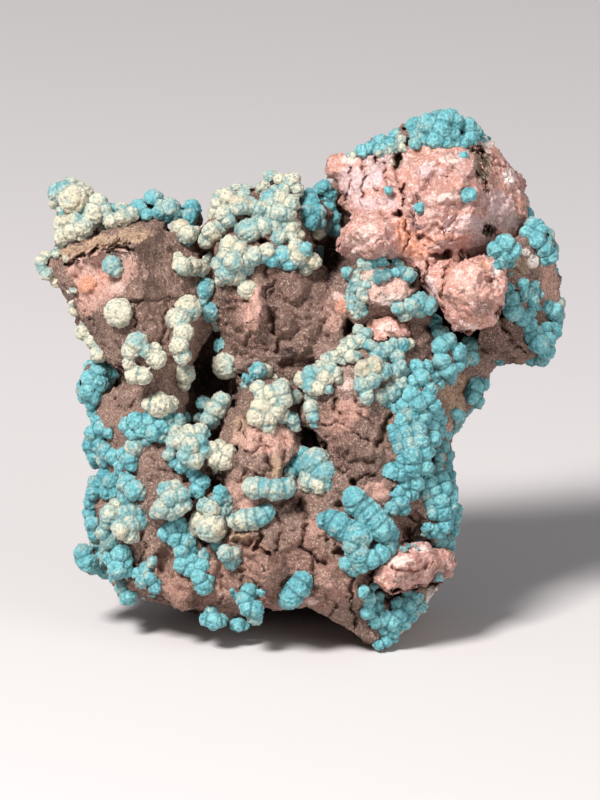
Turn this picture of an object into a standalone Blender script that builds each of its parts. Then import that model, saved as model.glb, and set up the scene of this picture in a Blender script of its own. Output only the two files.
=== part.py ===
"""A mineral specimen: blue-green botryoidal crusts grown on a rugged brown and pink matrix.

It is one natural piece, so it is one solid. The matrix is made of convex blocks and rounded
knobs, fused and roughened. The botryoidal lumps are balls seated on that surface, fused to it.

The display face is laid out on a survey grid, in tenths of a millimetre. A place is
(across, down, depth): across from a line left of the specimen, down from a line above it,
and depth away from the viewer, zero at the specimen's middle. The finished piece leans back
a little on its trimmed base. In the finished frame +Y points away from the viewer.
"""

import math
import random

import bmesh
import bpy
from mathutils import Matrix, Vector
from mathutils.bvhtree import BVHTree
from mathutils.kdtree import KDTree

TENTH = 0.0001  # the survey's unit, in metres

MIDDLE_ACROSS = 300  # the survey column that becomes x = 0 before centring
LOWEST_DOWN = 650  # the survey row level with the lowest tip
LEAN = math.radians(16)  # how far the display face leans back
TRIM_HEIGHT = 8 * TENTH  # the base is trimmed flat this far above the lowest row

ROCK_VOXEL = 5 * TENTH
SPECIMEN_VOXEL = 3 * TENTH
MOST_TRIANGLES = 9800
LUMP_EASE = 0.55  # how readily the lumps give up triangles, where the rock's readiness is 1
CRUST_COLOUR = (0.12, 0.44, 0.5, 1)
LUMP_SEAT = 0.4  # a lump's centre stands this share of its radius off the rock

# Convex blocks of the matrix, each by its corners (across, down, depth).
BLOCKS = {
    "left_crag": [
        (46, 263, 15), (58, 249, 30), (110, 238, -10), (152, 223, -15), (168, 232, -10),
        (140, 252, -72), (142, 340, -76), (206, 290, -10), (209, 332, -8), (192, 364, -20),
        (72, 302, 12), (98, 352, 12), (152, 394, -50), (62, 256, 90), (160, 230, 90),
        (208, 300, 90), (190, 372, 90), (92, 345, 90), (122, 402, 90),
    ],
    "left_crag_rim": [
        (47, 262, 8), (60, 247, 20), (152, 222, -30), (165, 229, -25), (135, 247, -84),
        (96, 254, -60), (58, 266, -8), (130, 252, -78), (60, 250, 70), (160, 228, 70),
    ],
    "left_shoulder": [
        (102, 392, 5), (112, 400, -20), (160, 384, -50), (190, 378, -20), (185, 400, -35),
        (148, 440, -42), (178, 470, -48), (112, 455, 0), (135, 500, -40), (108, 480, 10),
        (104, 400, 90), (190, 380, 90), (108, 480, 90), (190, 480, 90),
    ],
    "left_foot": [
        (104, 470, 15), (138, 460, -30), (180, 455, -55), (215, 480, -30), (218, 560, -38),
        (98, 520, 22), (97, 562, 30), (130, 590, 18), (160, 602, -5), (150, 555, -42),
        (175, 545, -35), (150, 495, -52), (104, 480, 90), (100, 560, 95), (160, 600, 95),
        (230, 480, 90), (240, 600, 95),
    ],
    "left_toe": [
        (168, 568, -28), (198, 572, -36), (181, 614, -34), (160, 598, -20), (202, 602, -24),
        (182, 585, -52), (170, 570, 60), (200, 600, 60), (178, 608, 30),
    ],
    "column_left": [
        (222, 268, -28), (262, 262, -38), (262, 300, -42), (258, 345, -44), (240, 372, -25),
        (228, 340, -15), (210, 300, -12), (205, 272, -5), (250, 322, -52), (215, 285, 90),
        (262, 270, 90), (245, 372, 90), (222, 330, 90),
    ],
    "column_right": [
        (262, 260, -30), (320, 262, -28), (338, 275, -22), (345, 330, -40), (330, 352, -45),
        (300, 365, -40), (262, 352, -30), (292, 300, -52), (322, 330, -55), (265, 270, 90),
        (340, 275, 90), (330, 355, 90), (270, 360, 90),
    ],
    "column_foot": [
        (236, 372, 0), (262, 348, -32), (300, 352, -30), (330, 350, -45), (318, 378, -40),
        (285, 384, -22), (250, 372, -20), (228, 398, 5), (250, 400, 10), (240, 380, 90),
        (330, 380, 90), (320, 460, 60), (235, 420, 90),
    ],
    "saddle": [
        (196, 238, 12), (215, 250, 6), (212, 285, 8), (205, 330, 12), (196, 300, 5),
        (180, 235, 20), (196, 240, 90), (225, 260, 90), (210, 330, 90),
    ],
    "crest_base": [
        (222, 196, 12), (262, 188, 0), (292, 192, 5), (308, 215, -6), (310, 255, -28),
        (268, 240, -38), (232, 248, -34), (214, 225, -8), (224, 275, -30), (250, 262, -46),
        (298, 262, -36), (225, 200, 80), (295, 195, 80), (318, 260, 80), (215, 250, 80),
    ],
    "pink_summit": [
        (402, 152, -22), (425, 128, 0), (462, 126, 0), (478, 148, -15), (500, 165, 8),
        (526, 208, 12), (404, 216, -44), (440, 256, -58), (486, 238, -46), (474, 192, -76),
        (430, 172, -62), (452, 216, -86), (410, 190, -50), (400, 140, 90), (470, 135, 90),
        (530, 220, 100), (430, 262, 70), (540, 262, 90),
    ],
    "pink_shoulder": [
        (342, 160, 8), (362, 152, 0), (402, 134, 4), (402, 150, -20), (345, 206, -12),
        (400, 218, -42), (338, 192, 2), (372, 182, -42), (392, 176, -40), (356, 212, -36),
        (345, 165, 90), (400, 140, 90), (398, 220, 80), (345, 215, 80),
    ],
    "pink_spur": [
        (317, 162, 12), (321, 169, 14), (350, 151, 0), (352, 174, -12), (348, 158, 40),
        (360, 198, 10), (334, 180, 18), (330, 156, 4), (338, 170, -10),
    ],
    "pink_ridge": [
        (474, 127, 22), (490, 138, 18), (504, 165, 14), (518, 169, 16), (513, 188, 18),
        (526, 206, 22), (480, 205, -22), (478, 150, -4), (502, 190, -18), (528, 232, 2),
        (474, 130, 75), (518, 180, 75), (530, 215, 75),
    ],
    "pink_block_left": [
        (338, 247, -52), (350, 222, -60), (372, 210, -66), (384, 215, -78), (401, 222, -62),
        (397, 256, -68), (345, 259, -58), (372, 259, -84), (364, 232, -96), (388, 232, -88),
        (350, 228, 20), (400, 225, 20), (395, 258, 20), (345, 255, 20),
    ],
    "orange_saddle": [
        (385, 214, -50), (412, 212, -50), (436, 240, -58), (432, 258, -54), (412, 262, -58),
        (392, 260, -60), (405, 236, -68), (390, 215, 40), (436, 240, 40), (410, 262, 40),
    ],
    "pink_block_right": [
        (447, 268, -82), (480, 258, -88), (500, 262, -78), (501, 290, -98), (497, 318, -88),
        (470, 332, -84), (463, 337, -80), (447, 322, -74), (441, 295, -84), (470, 282, -120),
        (486, 306, -112), (452, 272, -10), (500, 270, -10), (494, 320, -10), (455, 322, -10),
    ],
    "pink_web": [
        (414, 268, -58), (428, 258, -54), (448, 262, -56), (442, 302, -66), (422, 288, -58),
        (428, 276, -66), (416, 270, 40), (450, 265, 40), (442, 300, 40), (470, 262, 30),
        (470, 290, 30),
    ],
    "right_wall": [
        (498, 250, -38), (522, 262, -32), (553, 262, 8), (559, 300, 18), (560, 332, 20),
        (545, 362, 2), (526, 356, -14), (506, 300, -44), (513, 330, -34), (540, 232, 10),
        (555, 262, 80), (558, 330, 72), (525, 356, 60), (500, 250, 90), (480, 320, 60),
    ],
    "brown_overhang": [
        (492, 316, -66), (513, 322, -40), (528, 345, -24), (528, 359, -14), (504, 360, 4),
        (478, 346, -28), (474, 337, -44), (500, 362, 60), (480, 340, 60), (528, 350, 50),
    ],
    "encrusted_block": [
        (345, 272, -46), (364, 260, -52), (410, 262, -56), (415, 285, -60), (408, 315, -62),
        (352, 320, -54), (346, 295, -52), (380, 290, -80), (398, 300, -76), (350, 270, 40),
        (412, 270, 40), (408, 330, 40), (352, 320, 40),
    ],
    "pink_oval": [
        (366, 322, -58), (380, 314, -64), (398, 318, -66), (409, 330, -60), (404, 340, -58),
        (382, 343, -58), (385, 328, -82), (368, 330, 20), (408, 330, 20), (388, 345, 20),
    ],
    "brown_facet": [
        (404, 322, -52), (424, 316, -40), (434, 362, -38), (404, 366, -56), (420, 345, -52),
        (405, 330, 60), (432, 330, 60), (434, 365, 60), (405, 370, 60),
    ],
    "crust_bridge": [
        (298, 378, -62), (325, 358, -62), (360, 332, -58), (408, 345, -56), (408, 380, -62),
        (384, 400, -66), (345, 392, -76), (312, 392, -72), (372, 366, -80), (335, 376, -78),
        (312, 365, 40), (405, 350, 60), (400, 400, 60), (318, 395, 40),
    ],
    "heart": [
        (312, 394, -58), (345, 384, -74), (385, 398, -68), (395, 425, -66), (393, 462, -64),
        (386, 488, -74), (326, 450, -56), (335, 420, -82), (319, 430, -56), (366, 440, -96),
        (350, 408, -90), (345, 492, -84), (330, 470, -64), (320, 400, 60), (395, 400, 60),
        (390, 490, 60), (335, 480, 60),
    ],
    "right_flank": [
        (400, 362, -48), (436, 370, -30), (442, 430, -6), (446, 480, -4), (455, 512, 0),
        (450, 545, 2), (446, 562, 2), (398, 400, -64), (396, 480, -74), (412, 520, -66),
        (426, 450, -50), (438, 520, -42), (408, 440, -68), (438, 380, 70), (450, 480, 80),
        (455, 520, 70), (445, 560, 70), (400, 560, 60),
    ],
    "sloping_slab": [
        (504, 346, 12), (478, 381, 16), (453, 430, 12), (440, 442, 2), (436, 402, -12),
        (440, 380, -18), (470, 350, -8), (502, 350, 70), (453, 432, 70), (474, 386, 78),
        (440, 440, 70),
    ],
    "pyramid": [
        (262, 384, -44), (246, 394, -36), (295, 396, -38), (229, 415, -38), (225, 470, -44),
        (301, 436, -50), (298, 456, -50), (280, 470, -72), (250, 436, -84), (246, 484, -86),
        (268, 502, -78), (233, 505, -56), (272, 452, -80), (250, 395, 60), (298, 400, 60),
        (230, 470, 60), (300, 500, 60),
    ],
    "hearth": [
        (286, 470, -40), (335, 470, -58), (345, 498, -80), (398, 480, -72), (400, 545, -72),
        (345, 560, -76), (300, 500, -66), (272, 500, -66), (300, 548, -84), (262, 545, -86),
        (232, 520, -58), (215, 560, -46), (226, 600, -34), (270, 600, -52), (312, 604, -58),
        (330, 520, -82), (230, 480, 60), (400, 480, 60), (400, 560, 60), (225, 600, 60),
    ],
    "wedge_ridge": [
        (254, 552, -88), (270, 548, -94), (286, 566, -86), (280, 603, -56), (272, 600, -52),
        (252, 578, -78), (264, 570, -102), (262, 590, -84), (255, 560, 20), (285, 570, 20),
        (278, 600, 20),
    ],
    "centre_keel": [
        (313, 560, -72), (345, 552, -80), (368, 570, -80), (348, 590, -86), (311, 603, -70),
        (326, 614, -58), (350, 626, -50), (372, 646, -32), (366, 592, -62), (362, 632, -44),
        (330, 580, -86), (320, 560, 60), (370, 600, 60), (350, 622, 40), (372, 640, 20),
    ],
    "pink_slab": [
        (368, 578, -82), (384, 593, -86), (400, 544, -78), (440, 548, -54), (449, 560, -40),
        (448, 576, -40), (426, 580, -60), (410, 588, -74), (396, 566, -98), (420, 560, -84),
        (380, 560, 40), (445, 560, 60), (440, 580, 60), (390, 590, 40),
    ],
    "lower_flank": [
        (425, 578, -50), (440, 578, -44), (436, 592, -30), (432, 590, -20), (414, 590, -50),
        (440, 560, 60), (432, 600, 60), (400, 590, 60), (400, 560, 0),
    ],
    "tip_recess": [
        (362, 590, -38), (372, 640, -28), (380, 649, -24), (404, 630, -16), (430, 600, -10),
        (426, 588, -30), (395, 610, -30), (372, 640, 30), (430, 598, 60), (368, 590, 60),
        (400, 628, 60),
    ],
    "tip_rim": [
        (433, 590, -26), (428, 606, -26), (404, 632, -34), (380, 650, -36), (372, 646, -34),
        (378, 636, -28), (400, 622, -22), (424, 600, -16), (430, 592, 20), (384, 644, 20),
    ],
    "hull_left": [
        (205, 562, -44), (246, 574, -50), (242, 616, -28), (206, 612, -26), (216, 600, -48),
        (232, 616, -34), (204, 560, 60), (245, 600, 60), (206, 606, 60), (240, 612, 60),
    ],
    "core_upper": [
        (95, 290, 62), (170, 245, 62), (230, 222, 58), (330, 200, 52), (400, 155, 40),
        (490, 160, 45), (538, 235, 40), (548, 330, 40), (470, 356, 40), (330, 380, 55),
        (200, 385, 70), (120, 300, 92), (220, 245, 104), (330, 222, 112), (430, 182, 110),
        (508, 222, 100), (518, 318, 92), (440, 372, 112), (200, 372, 110),
    ],
    "core_lower": [
        (115, 400, 62), (200, 390, 70), (330, 370, 55), (436, 380, 50), (448, 480, 50),
        (440, 580, 50), (400, 615, 50), (300, 596, 55), (200, 600, 50), (115, 570, 60),
        (130, 420, 94), (240, 380, 112), (400, 380, 116), (428, 480, 108), (410, 590, 104),
        (240, 596, 110), (135, 560, 90),
    ],
    "back_summit": [
        (398, 150, 58), (468, 138, 66), (516, 180, 86), (530, 238, 104), (452, 196, 132),
        (404, 236, 124), (500, 282, 122), (424, 304, 112), (470, 250, 138),
    ],
    "back_shoulder": [
        (326, 206, 88), (404, 178, 98), (432, 290, 134), (352, 306, 134), (304, 262, 112),
        (378, 220, 132), (330, 240, 126), (400, 330, 120),
    ],
    "back_crest": [
        (214, 226, 78), (300, 214, 80), (334, 262, 116), (236, 262, 124), (208, 306, 120),
        (300, 326, 134), (256, 346, 140), (286, 280, 138),
    ],
    "back_left_crag": [
        (60, 256, 84), (158, 230, 84), (208, 262, 104), (204, 334, 126), (108, 300, 114),
        (92, 345, 92), (152, 384, 106), (150, 270, 122), (176, 360, 122),
    ],
    "back_right_wall": [
        (555, 262, 76), (558, 330, 70), (520, 300, 108), (504, 352, 100), (468, 334, 122),
        (538, 240, 78), (528, 270, 108), (480, 290, 124),
    ],
    "back_waist": [
        (196, 352, 112), (330, 334, 132), (444, 342, 122), (464, 396, 92), (424, 442, 128),
        (302, 424, 146), (200, 430, 124), (116, 404, 92), (352, 384, 150), (238, 392, 138),
    ],
    "back_lower_left": [
        (106, 430, 84), (100, 536, 92), (200, 442, 124), (252, 502, 140), (206, 592, 128),
        (122, 588, 88), (168, 500, 134), (236, 560, 138),
    ],
    "back_lower_right": [
        (296, 446, 136), (434, 450, 128), (452, 520, 92), (442, 584, 92), (362, 600, 134),
        (282, 566, 142), (338, 508, 156), (406, 536, 140),
    ],
    "back_pink_block": [
        (356, 296, 118), (412, 286, 118), (428, 338, 122), (376, 352, 128), (366, 306, 146),
        (404, 300, 142), (412, 334, 146), (380, 340, 154), (392, 316, 160),
    ],
    "back_ledge": [
        (228, 380, 130), (296, 366, 140), (314, 402, 150), (240, 412, 146), (276, 432, 138),
        (270, 388, 160), (300, 398, 160),
    ],
    "back_step": [
        (150, 420, 110), (204, 404, 126), (236, 440, 138), (180, 470, 134), (196, 424, 150),
        (214, 446, 150),
    ],
    "back_horn": [
        (440, 236, 118), (478, 222, 118), (492, 262, 122), (452, 276, 126), (470, 240, 152),
        (474, 258, 148),
    ],
    "heel_left": [
        (196, 584, 52), (254, 584, 52), (204, 634, 62), (248, 634, 66), (192, 622, 140),
        (262, 622, 146), (184, 576, 134), (268, 570, 146), (190, 600, 100),
    ],
    "heel_middle": [
        (250, 590, 110), (350, 590, 110), (250, 620, 116), (350, 620, 116), (248, 618, 150),
        (352, 618, 150), (240, 560, 146), (360, 556, 146), (300, 622, 152),
    ],
    "heel_right": [
        (346, 590, 45), (410, 585, 45), (352, 634, 56), (400, 634, 56), (346, 622, 146),
        (404, 622, 138), (340, 570, 146), (420, 576, 126), (412, 604, 96),
    ],
}

# Rounded knobs of the matrix: (across, down, depth, half width, half height, half depth).
KNOBS = [
    (72, 202, 30, 17, 16, 16), (94, 214, 24, 13, 13, 15), (76, 230, 20, 20, 12, 20),
    (120, 218, 22, 20, 10, 20), (152, 210, 30, 14, 11, 18), (172, 214, 32, 12, 9, 16),
    (190, 216, 34, 9, 11, 14), (186, 236, 8, 10, 12, 18), (48, 268, 26, 9, 14, 14),
    (192, 268, -6, 14, 12, 14), (212, 232, 6, 10, 14, 16), (246, 212, -6, 24, 20, 24),
    (284, 208, -6, 22, 22, 24), (274, 184, 12, 14, 9, 14), (292, 188, 10, 10, 9, 14),
    (312, 218, 14, 11, 18, 16), (330, 208, 40, 10, 26, 18), (232, 262, -34, 18, 18, 16),
    (262, 254, -36, 14, 12, 14), (300, 254, -32, 18, 14, 14), (282, 300, -40, 20, 22, 14),
    (300, 322, -44, 18, 20, 14), (252, 318, -42, 12, 22, 14), (318, 304, -38, 14, 16, 12),
    (302, 352, -38, 16, 14, 14), (256, 362, -24, 16, 16, 16), (226, 352, 6, 14, 18, 22),
    (438, 128, 4, 30, 13, 26), (386, 146, 14, 18, 9, 18), (404, 139, -2, 9, 11, 14),
    (503, 250, -38, 15, 12, 14), (534, 236, 8, 13, 16, 18), (548, 254, 14, 8, 10, 16),
    (538, 342, 2, 13, 18, 22), (552, 318, 16, 8, 16, 16), (512, 304, -36, 12, 16, 14),
    (404, 308, -58, 14, 9, 14), (424, 308, -50, 14, 12, 16), (446, 356, -24, 14, 24, 20),
    (470, 352, 8, 14, 14, 20), (476, 392, 22, 12, 15, 16), (456, 414, 26, 6, 8, 12),
    (420, 400, -52, 20, 30, 18), (416, 450, -54, 20, 30, 20), (438, 500, -34, 16, 34, 20),
    (96, 386, 26, 14, 22, 18), (100, 438, 22, 14, 28, 18), (100, 512, 22, 10, 38, 18),
    (88, 560, 26, 11, 14, 14), (122, 526, -20, 20, 22, 18), (118, 562, -6, 13, 18, 18),
    (126, 592, 10, 9, 13, 14), (148, 578, -14, 14, 16, 18), (132, 452, -14, 12, 14, 14),
    (150, 428, -34, 24, 12, 14), (160, 406, -42, 14, 10, 12), (192, 450, -52, 18, 20, 14),
    (212, 412, -18, 13, 14, 18), (222, 454, -46, 14, 12, 14), (200, 486, -40, 9, 14, 14),
    (174, 500, -54, 17, 16, 12), (180, 532, -32, 16, 14, 16), (188, 560, -34, 10, 16, 14),
    (214, 512, -50, 16, 22, 18), (228, 552, -54, 12, 10, 14), (204, 576, -42, 8, 20, 14),
    (214, 618, -24, 12, 10, 14), (252, 604, -48, 11, 18, 14), (240, 624, -12, 8, 7, 12),
    (268, 488, -80, 20, 10, 12), (252, 518, -72, 20, 10, 12), (316, 472, -46, 16, 20, 18),
    (298, 462, -20, 12, 16, 20), (272, 400, -48, 20, 20, 16), (292, 400, -28, 9, 14, 16),
    (184, 376, -24, 9, 14, 16), (182, 338, -54, 12, 22, 14), (144, 360, -66, 18, 18, 14),
    (312, 410, -52, 8, 16, 14), (370, 520, -74, 18, 18, 14), (340, 526, -72, 14, 10, 12),
    (360, 552, -78, 18, 16, 12), (298, 590, -60, 12, 14, 14), (392, 612, -28, 22, 20, 12),
    (366, 390, -80, 9, 12, 10), (384, 484, -74, 14, 12, 12),
    (230, 290, 126, 20, 22, 16), (300, 250, 118, 26, 18, 18), (140, 330, 108, 24, 16, 16),
    (360, 420, 142, 26, 20, 16), (440, 410, 114, 18, 26, 18), (280, 480, 142, 24, 30, 16),
    (180, 540, 126, 24, 20, 16), (400, 490, 136, 20, 24, 16), (320, 560, 146, 24, 16, 12),
    (140, 470, 104, 18, 26, 16), (350, 250, 128, 20, 16, 14), (500, 310, 110, 18, 16, 16),
    (480, 190, 108, 18, 16, 16), (250, 340, 140, 16, 12, 12), (330, 300, 132, 14, 20, 14),
]

# Botryoidal lumps by crust: (across, down, radius), or with a fourth value, the centre's depth.
CRUSTS = {
    "left_crest": [
        (54, 190, 9), (58, 183, 6), (70, 185, 8), (64, 190, 8), (88, 187, 8), (80, 184, 7),
        (73, 200, 13), (98, 203, 9), (93, 214, 10), (104, 212, 8), (53, 203, 5), (57, 212, 4),
        (62, 223, 8), (75, 221, 8), (62, 237, 8), (72, 232, 8), (83, 228, 9), (90, 221, 8),
        (82, 237, 5), (102, 226, 6), (112, 222, 8), (122, 218, 8), (131, 214, 7), (122, 205, 7),
        (140, 209, 6), (146, 215, 6), (153, 199, 9), (161, 205, 6), (170, 208, 9), (158, 213, 6),
        (167, 216, 6), (176, 214, 6), (192, 208, 8), (189, 217, 8), (181, 229, 9), (188, 235, 8),
        (195, 232, 5), (41, 262, 6), (45, 256, 5), (47, 274, 6), (54, 282, 6), (42, 268, 5),
    ],
    "left_face": [
        (178, 259, 6), (182, 267, 9), (192, 267, 8), (201, 268, 8), (113, 266, 9), (118, 272, 6),
        (120, 313, 13), (188, 309, 12), (178, 320, 11), (184, 333, 9), (180, 346, 9),
        (183, 356, 8), (75, 309, 6, 14), (72, 304, 4, 14), (84, 332, 8, 16), (92, 342, 6, 10),
        (84, 321, 4, 14), (99, 354, 8, 2), (138, 343, 10), (132, 351, 8), (146, 350, 7),
        (157, 359, 9), (155, 351, 7), (130, 363, 6), (136, 375, 9), (144, 376, 8),
        (205, 290, 8), (208, 284, 6), (203, 301, 5), (210, 312, 9), (218, 321, 9),
        (186, 375, 8), (180, 367, 5), (185, 385, 6),
    ],
    "middle_crest": [
        (215, 190, 8), (212, 202, 6), (220, 203, 8), (228, 198, 8), (230, 190, 6), (237, 186, 7),
        (247, 185, 7), (256, 185, 7), (263, 188, 7), (244, 195, 6), (271, 176, 8), (280, 180, 6),
        (291, 182, 9), (296, 190, 7), (283, 190, 6), (275, 192, 6), (217, 214, 9), (225, 214, 8),
        (229, 221, 7), (221, 226, 8), (213, 232, 9), (207, 240, 8), (240, 206, 9), (250, 206, 8),
        (258, 210, 8), (270, 200, 9), (281, 199, 8), (291, 204, 8), (270, 213, 7), (280, 214, 9),
        (289, 214, 7), (249, 231, 11), (262, 228, 9), (240, 229, 5), (275, 226, 7), (283, 222, 6),
        (291, 228, 9), (279, 239, 7), (291, 239, 7), (298, 236, 6), (310, 203, 9), (306, 213, 7),
        (318, 212, 7), (311, 221, 8), (320, 223, 6), (318, 233, 6), (230, 246, 9), (240, 250, 8),
        (225, 257, 7), (218, 264, 6), (233, 262, 9), (243, 262, 8), (253, 257, 9), (226, 273, 9),
        (236, 275, 9), (246, 268, 7), (222, 280, 6), (232, 282, 5), (267, 253, 8), (272, 260, 7),
        (262, 258, 6), (284, 255, 8), (290, 264, 7), (280, 263, 5), (296, 247, 7), (305, 250, 7),
        (316, 252, 7), (312, 262, 8), (306, 268, 7), (299, 258, 7), (248, 290, 9), (286, 282, 3),
        (289, 290, 3),
    ],
    "gap_behind_crest": [
        (325, 187, 7, 24), (331, 195, 6, 26), (310, 195, 7, 24), (330, 206, 7, 30),
        (334, 217, 7, 30), (328, 226, 7, 30), (336, 230, 6, 30), (322, 198, 6, 34),
    ],
    "summit": [
        (412, 127, 6), (418, 136, 7), (428, 125, 10), (436, 120, 7), (445, 120, 8), (456, 122, 7),
        (424, 139, 8), (436, 141, 8), (442, 130, 9), (450, 135, 9), (457, 142, 7), (468, 126, 8),
        (470, 138, 8), (474, 131, 5), (464, 144, 5), (430, 133, 8), (415, 144, 6), (446, 143, 7),
        (396, 136, 7), (391, 146, 7), (380, 142, 7), (371, 148, 6), (362, 151, 6), (384, 150, 5),
        (376, 150, 5),
    ],
    "summit_spots": [
        (388, 191, 4), (419, 209, 5), (421, 227, 3), (468, 196, 7), (463, 157, 4),
        (403, 223, 2), (404, 230, 2), (404, 236, 2),
    ],
    "right_crust": [
        (504, 244, 9), (495, 251, 8), (512, 251, 8), (503, 257, 7), (532, 225, 7), (527, 234, 7),
        (537, 240, 8), (545, 249, 8), (550, 257, 7), (540, 222, 5), (541, 231, 6), (546, 260, 5),
        (505, 292, 8), (511, 300, 8), (503, 303, 6), (512, 311, 9), (521, 318, 8), (528, 326, 8),
        (523, 284, 5), (528, 292, 5), (532, 300, 6), (536, 307, 5), (529, 312, 6), (531, 336, 8),
        (539, 344, 9), (546, 351, 8), (541, 358, 8), (547, 340, 7), (532, 357, 8), (536, 332, 6),
        (553, 311, 8), (547, 308, 7), (558, 317, 5), (553, 331, 8), (546, 327, 5), (504, 266, 4),
        (509, 274, 3),
    ],
    "encrusted_block": [
        (348, 273, 6), (362, 264, 5), (372, 263, 6), (380, 262, 5), (386, 266, 4), (395, 274, 5),
        (401, 273, 6), (408, 276, 7), (396, 264, 4), (353, 282, 4), (356, 290, 4), (360, 297, 4),
        (353, 300, 4), (352, 308, 4), (360, 306, 4), (363, 313, 4), (368, 286, 3), (372, 278, 3),
        (398, 308, 6), (404, 314, 7), (410, 306, 7), (419, 303, 9), (428, 306, 8), (418, 312, 6),
    ],
    "notch": [
        (434, 322, 7, -30), (439, 333, 8, -34), (440, 346, 8), (448, 341, 7), (457, 352, 8),
        (441, 361, 8), (448, 371, 8), (450, 379, 6), (462, 353, 4), (470, 345, 8), (463, 360, 7),
        (472, 358, 7), (458, 366, 6), (480, 353, 6, 6), (490, 359, 6, 12), (499, 360, 5, 14),
        (484, 370, 5, 14), (475, 387, 9), (481, 385, 7), (472, 396, 8), (478, 402, 6),
        (468, 396, 5), (455, 414, 6),
    ],
    "bridge": [
        (303, 380, 8), (312, 375, 9), (320, 369, 7), (311, 386, 8), (319, 388, 7), (326, 378, 8),
        (330, 370, 6), (328, 389, 5), (336, 373, 5), (312, 397, 6), (311, 407, 7), (313, 416, 6),
        (315, 423, 5), (327, 359, 6), (335, 357, 6), (343, 352, 7), (350, 357, 6), (352, 346, 7),
        (345, 345, 5), (360, 341, 7), (366, 334, 6), (358, 330, 5), (370, 346, 6), (378, 355, 8),
        (386, 350, 8), (393, 345, 6), (401, 345, 7), (409, 344, 5), (364, 370, 9), (374, 366, 9),
        (372, 380, 8), (382, 371, 8), (360, 379, 6), (396, 357, 7), (400, 366, 6), (393, 371, 6),
        (405, 373, 4), (361, 386, 7), (366, 397, 7), (391, 391, 10), (380, 396, 7), (387, 403, 6),
        (399, 383, 8), (408, 389, 6),
    ],
    "right_flank": [
        (415, 368, 8), (421, 378, 8), (413, 382, 7), (427, 367, 6), (433, 377, 7), (438, 384, 6),
        (430, 389, 6), (411, 395, 8), (404, 405, 8), (417, 403, 8), (427, 398, 7), (433, 405, 6),
        (396, 407, 6), (411, 415, 8), (402, 421, 8), (422, 417, 8), (436, 413, 7), (441, 420, 6),
        (430, 425, 8), (418, 430, 8), (405, 433, 8), (395, 437, 8), (391, 430, 5), (440, 431, 6),
        (408, 444, 8), (398, 447, 7), (420, 442, 8), (432, 439, 8), (443, 446, 6), (412, 455, 9),
        (425, 452, 8), (437, 456, 7), (402, 459, 6), (447, 456, 5), (398, 466, 6), (390, 472, 9),
        (401, 474, 7), (412, 468, 8), (424, 466, 8), (436, 469, 7), (446, 467, 6), (449, 476, 6),
        (440, 479, 8), (428, 481, 8), (415, 482, 8), (404, 484, 7), (397, 492, 7), (405, 494, 7),
        (412, 494, 6), (399, 502, 8), (392, 507, 7), (403, 508, 6), (424, 493, 7), (434, 491, 7),
        (445, 488, 7), (451, 496, 6), (440, 501, 8), (430, 503, 6), (450, 506, 7), (457, 509, 5),
        (442, 512, 8), (433, 513, 6), (452, 518, 7), (445, 526, 7), (436, 530, 7), (428, 526, 4),
        (453, 530, 6), (440, 541, 7), (448, 541, 6), (450, 552, 5), (452, 546, 5), (418, 539, 4),
        (428, 534, 4), (438, 577, 4),
    ],
    "worms": [
        (353, 497, 10), (357, 503, 11), (363, 508, 11), (369, 514, 12), (375, 520, 12),
        (381, 527, 12), (387, 533, 10), (325, 519, 8), (331, 520, 10), (338, 524, 11),
        (346, 530, 11), (357, 536, 13, -92), (353, 545, 10, -94), (358, 552, 10, -94),
        (346, 562, 7), (353, 568, 7), (360, 562, 9), (370, 558, 9), (380, 553, 9), (387, 546, 9),
        (302, 581, 10), (298, 587, 11), (292, 594, 11), (288, 600, 8),
    ],
    "tip": [
        (362, 590, 6), (368, 598, 7), (372, 585, 5), (375, 607, 8), (367, 611, 7), (378, 596, 6),
        (374, 620, 7), (384, 618, 8), (383, 628, 6), (393, 622, 8), (400, 614, 8), (407, 606, 8),
        (414, 599, 8), (420, 606, 6), (408, 593, 6), (398, 603, 6), (394, 631, 6), (404, 623, 6),
        (412, 614, 6), (378, 644, 5), (386, 641, 5), (395, 638, 4),
    ],
    "pyramid_top": [
        (258, 371, 8), (250, 377, 7), (246, 385, 5), (266, 371, 7), (273, 378, 6), (283, 385, 6),
        (259, 380, 7), (259, 389, 7), (263, 396, 8), (271, 394, 8), (280, 391, 9), (283, 400, 8),
        (275, 402, 7), (261, 410, 10), (257, 417, 9), (267, 418, 10), (275, 411, 9), (282, 415, 7),
        (268, 427, 7), (292, 420, 7), (295, 426, 5), (295, 397, 7),
    ],
    "pyramid_front": [
        (254, 487, 10), (265, 487, 9), (275, 489, 10), (285, 487, 9), (290, 491, 5),
        (237, 521, 8), (244, 519, 10), (252, 518, 10), (260, 516, 9), (267, 512, 8),
        (316, 462, 13), (324, 473, 12), (310, 481, 11), (319, 483, 10), (327, 484, 7),
        (302, 455, 8), (296, 466, 8), (290, 472, 7),
    ],
    "left_edge": [
        (98, 371, 8), (89, 379, 8), (106, 372, 7), (110, 378, 5), (98, 384, 9), (88, 391, 8),
        (95, 396, 7), (91, 404, 6), (93, 412, 6), (98, 420, 7), (102, 429, 8), (92, 433, 7),
        (109, 433, 5), (91, 445, 8), (99, 446, 7), (106, 452, 8), (94, 456, 7), (113, 456, 8),
        (103, 462, 6), (104, 476, 7), (95, 483, 7), (93, 493, 7), (91, 503, 7), (90, 513, 7),
        (92, 524, 7), (94, 535, 6), (96, 545, 5), (112, 482, 8), (108, 491, 8), (116, 492, 7),
        (83, 553, 8), (87, 562, 9), (80, 560, 5), (93, 568, 6), (100, 560, 7), (104, 571, 7),
        (112, 580, 6),
    ],
    "left_shoulder": [
        (160, 405, 11), (151, 405, 7), (170, 404, 8), (128, 425, 8), (137, 421, 8), (133, 432, 7),
        (149, 420, 8), (153, 432, 9), (161, 426, 9), (144, 430, 7), (148, 440, 5), (161, 437, 5),
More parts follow.
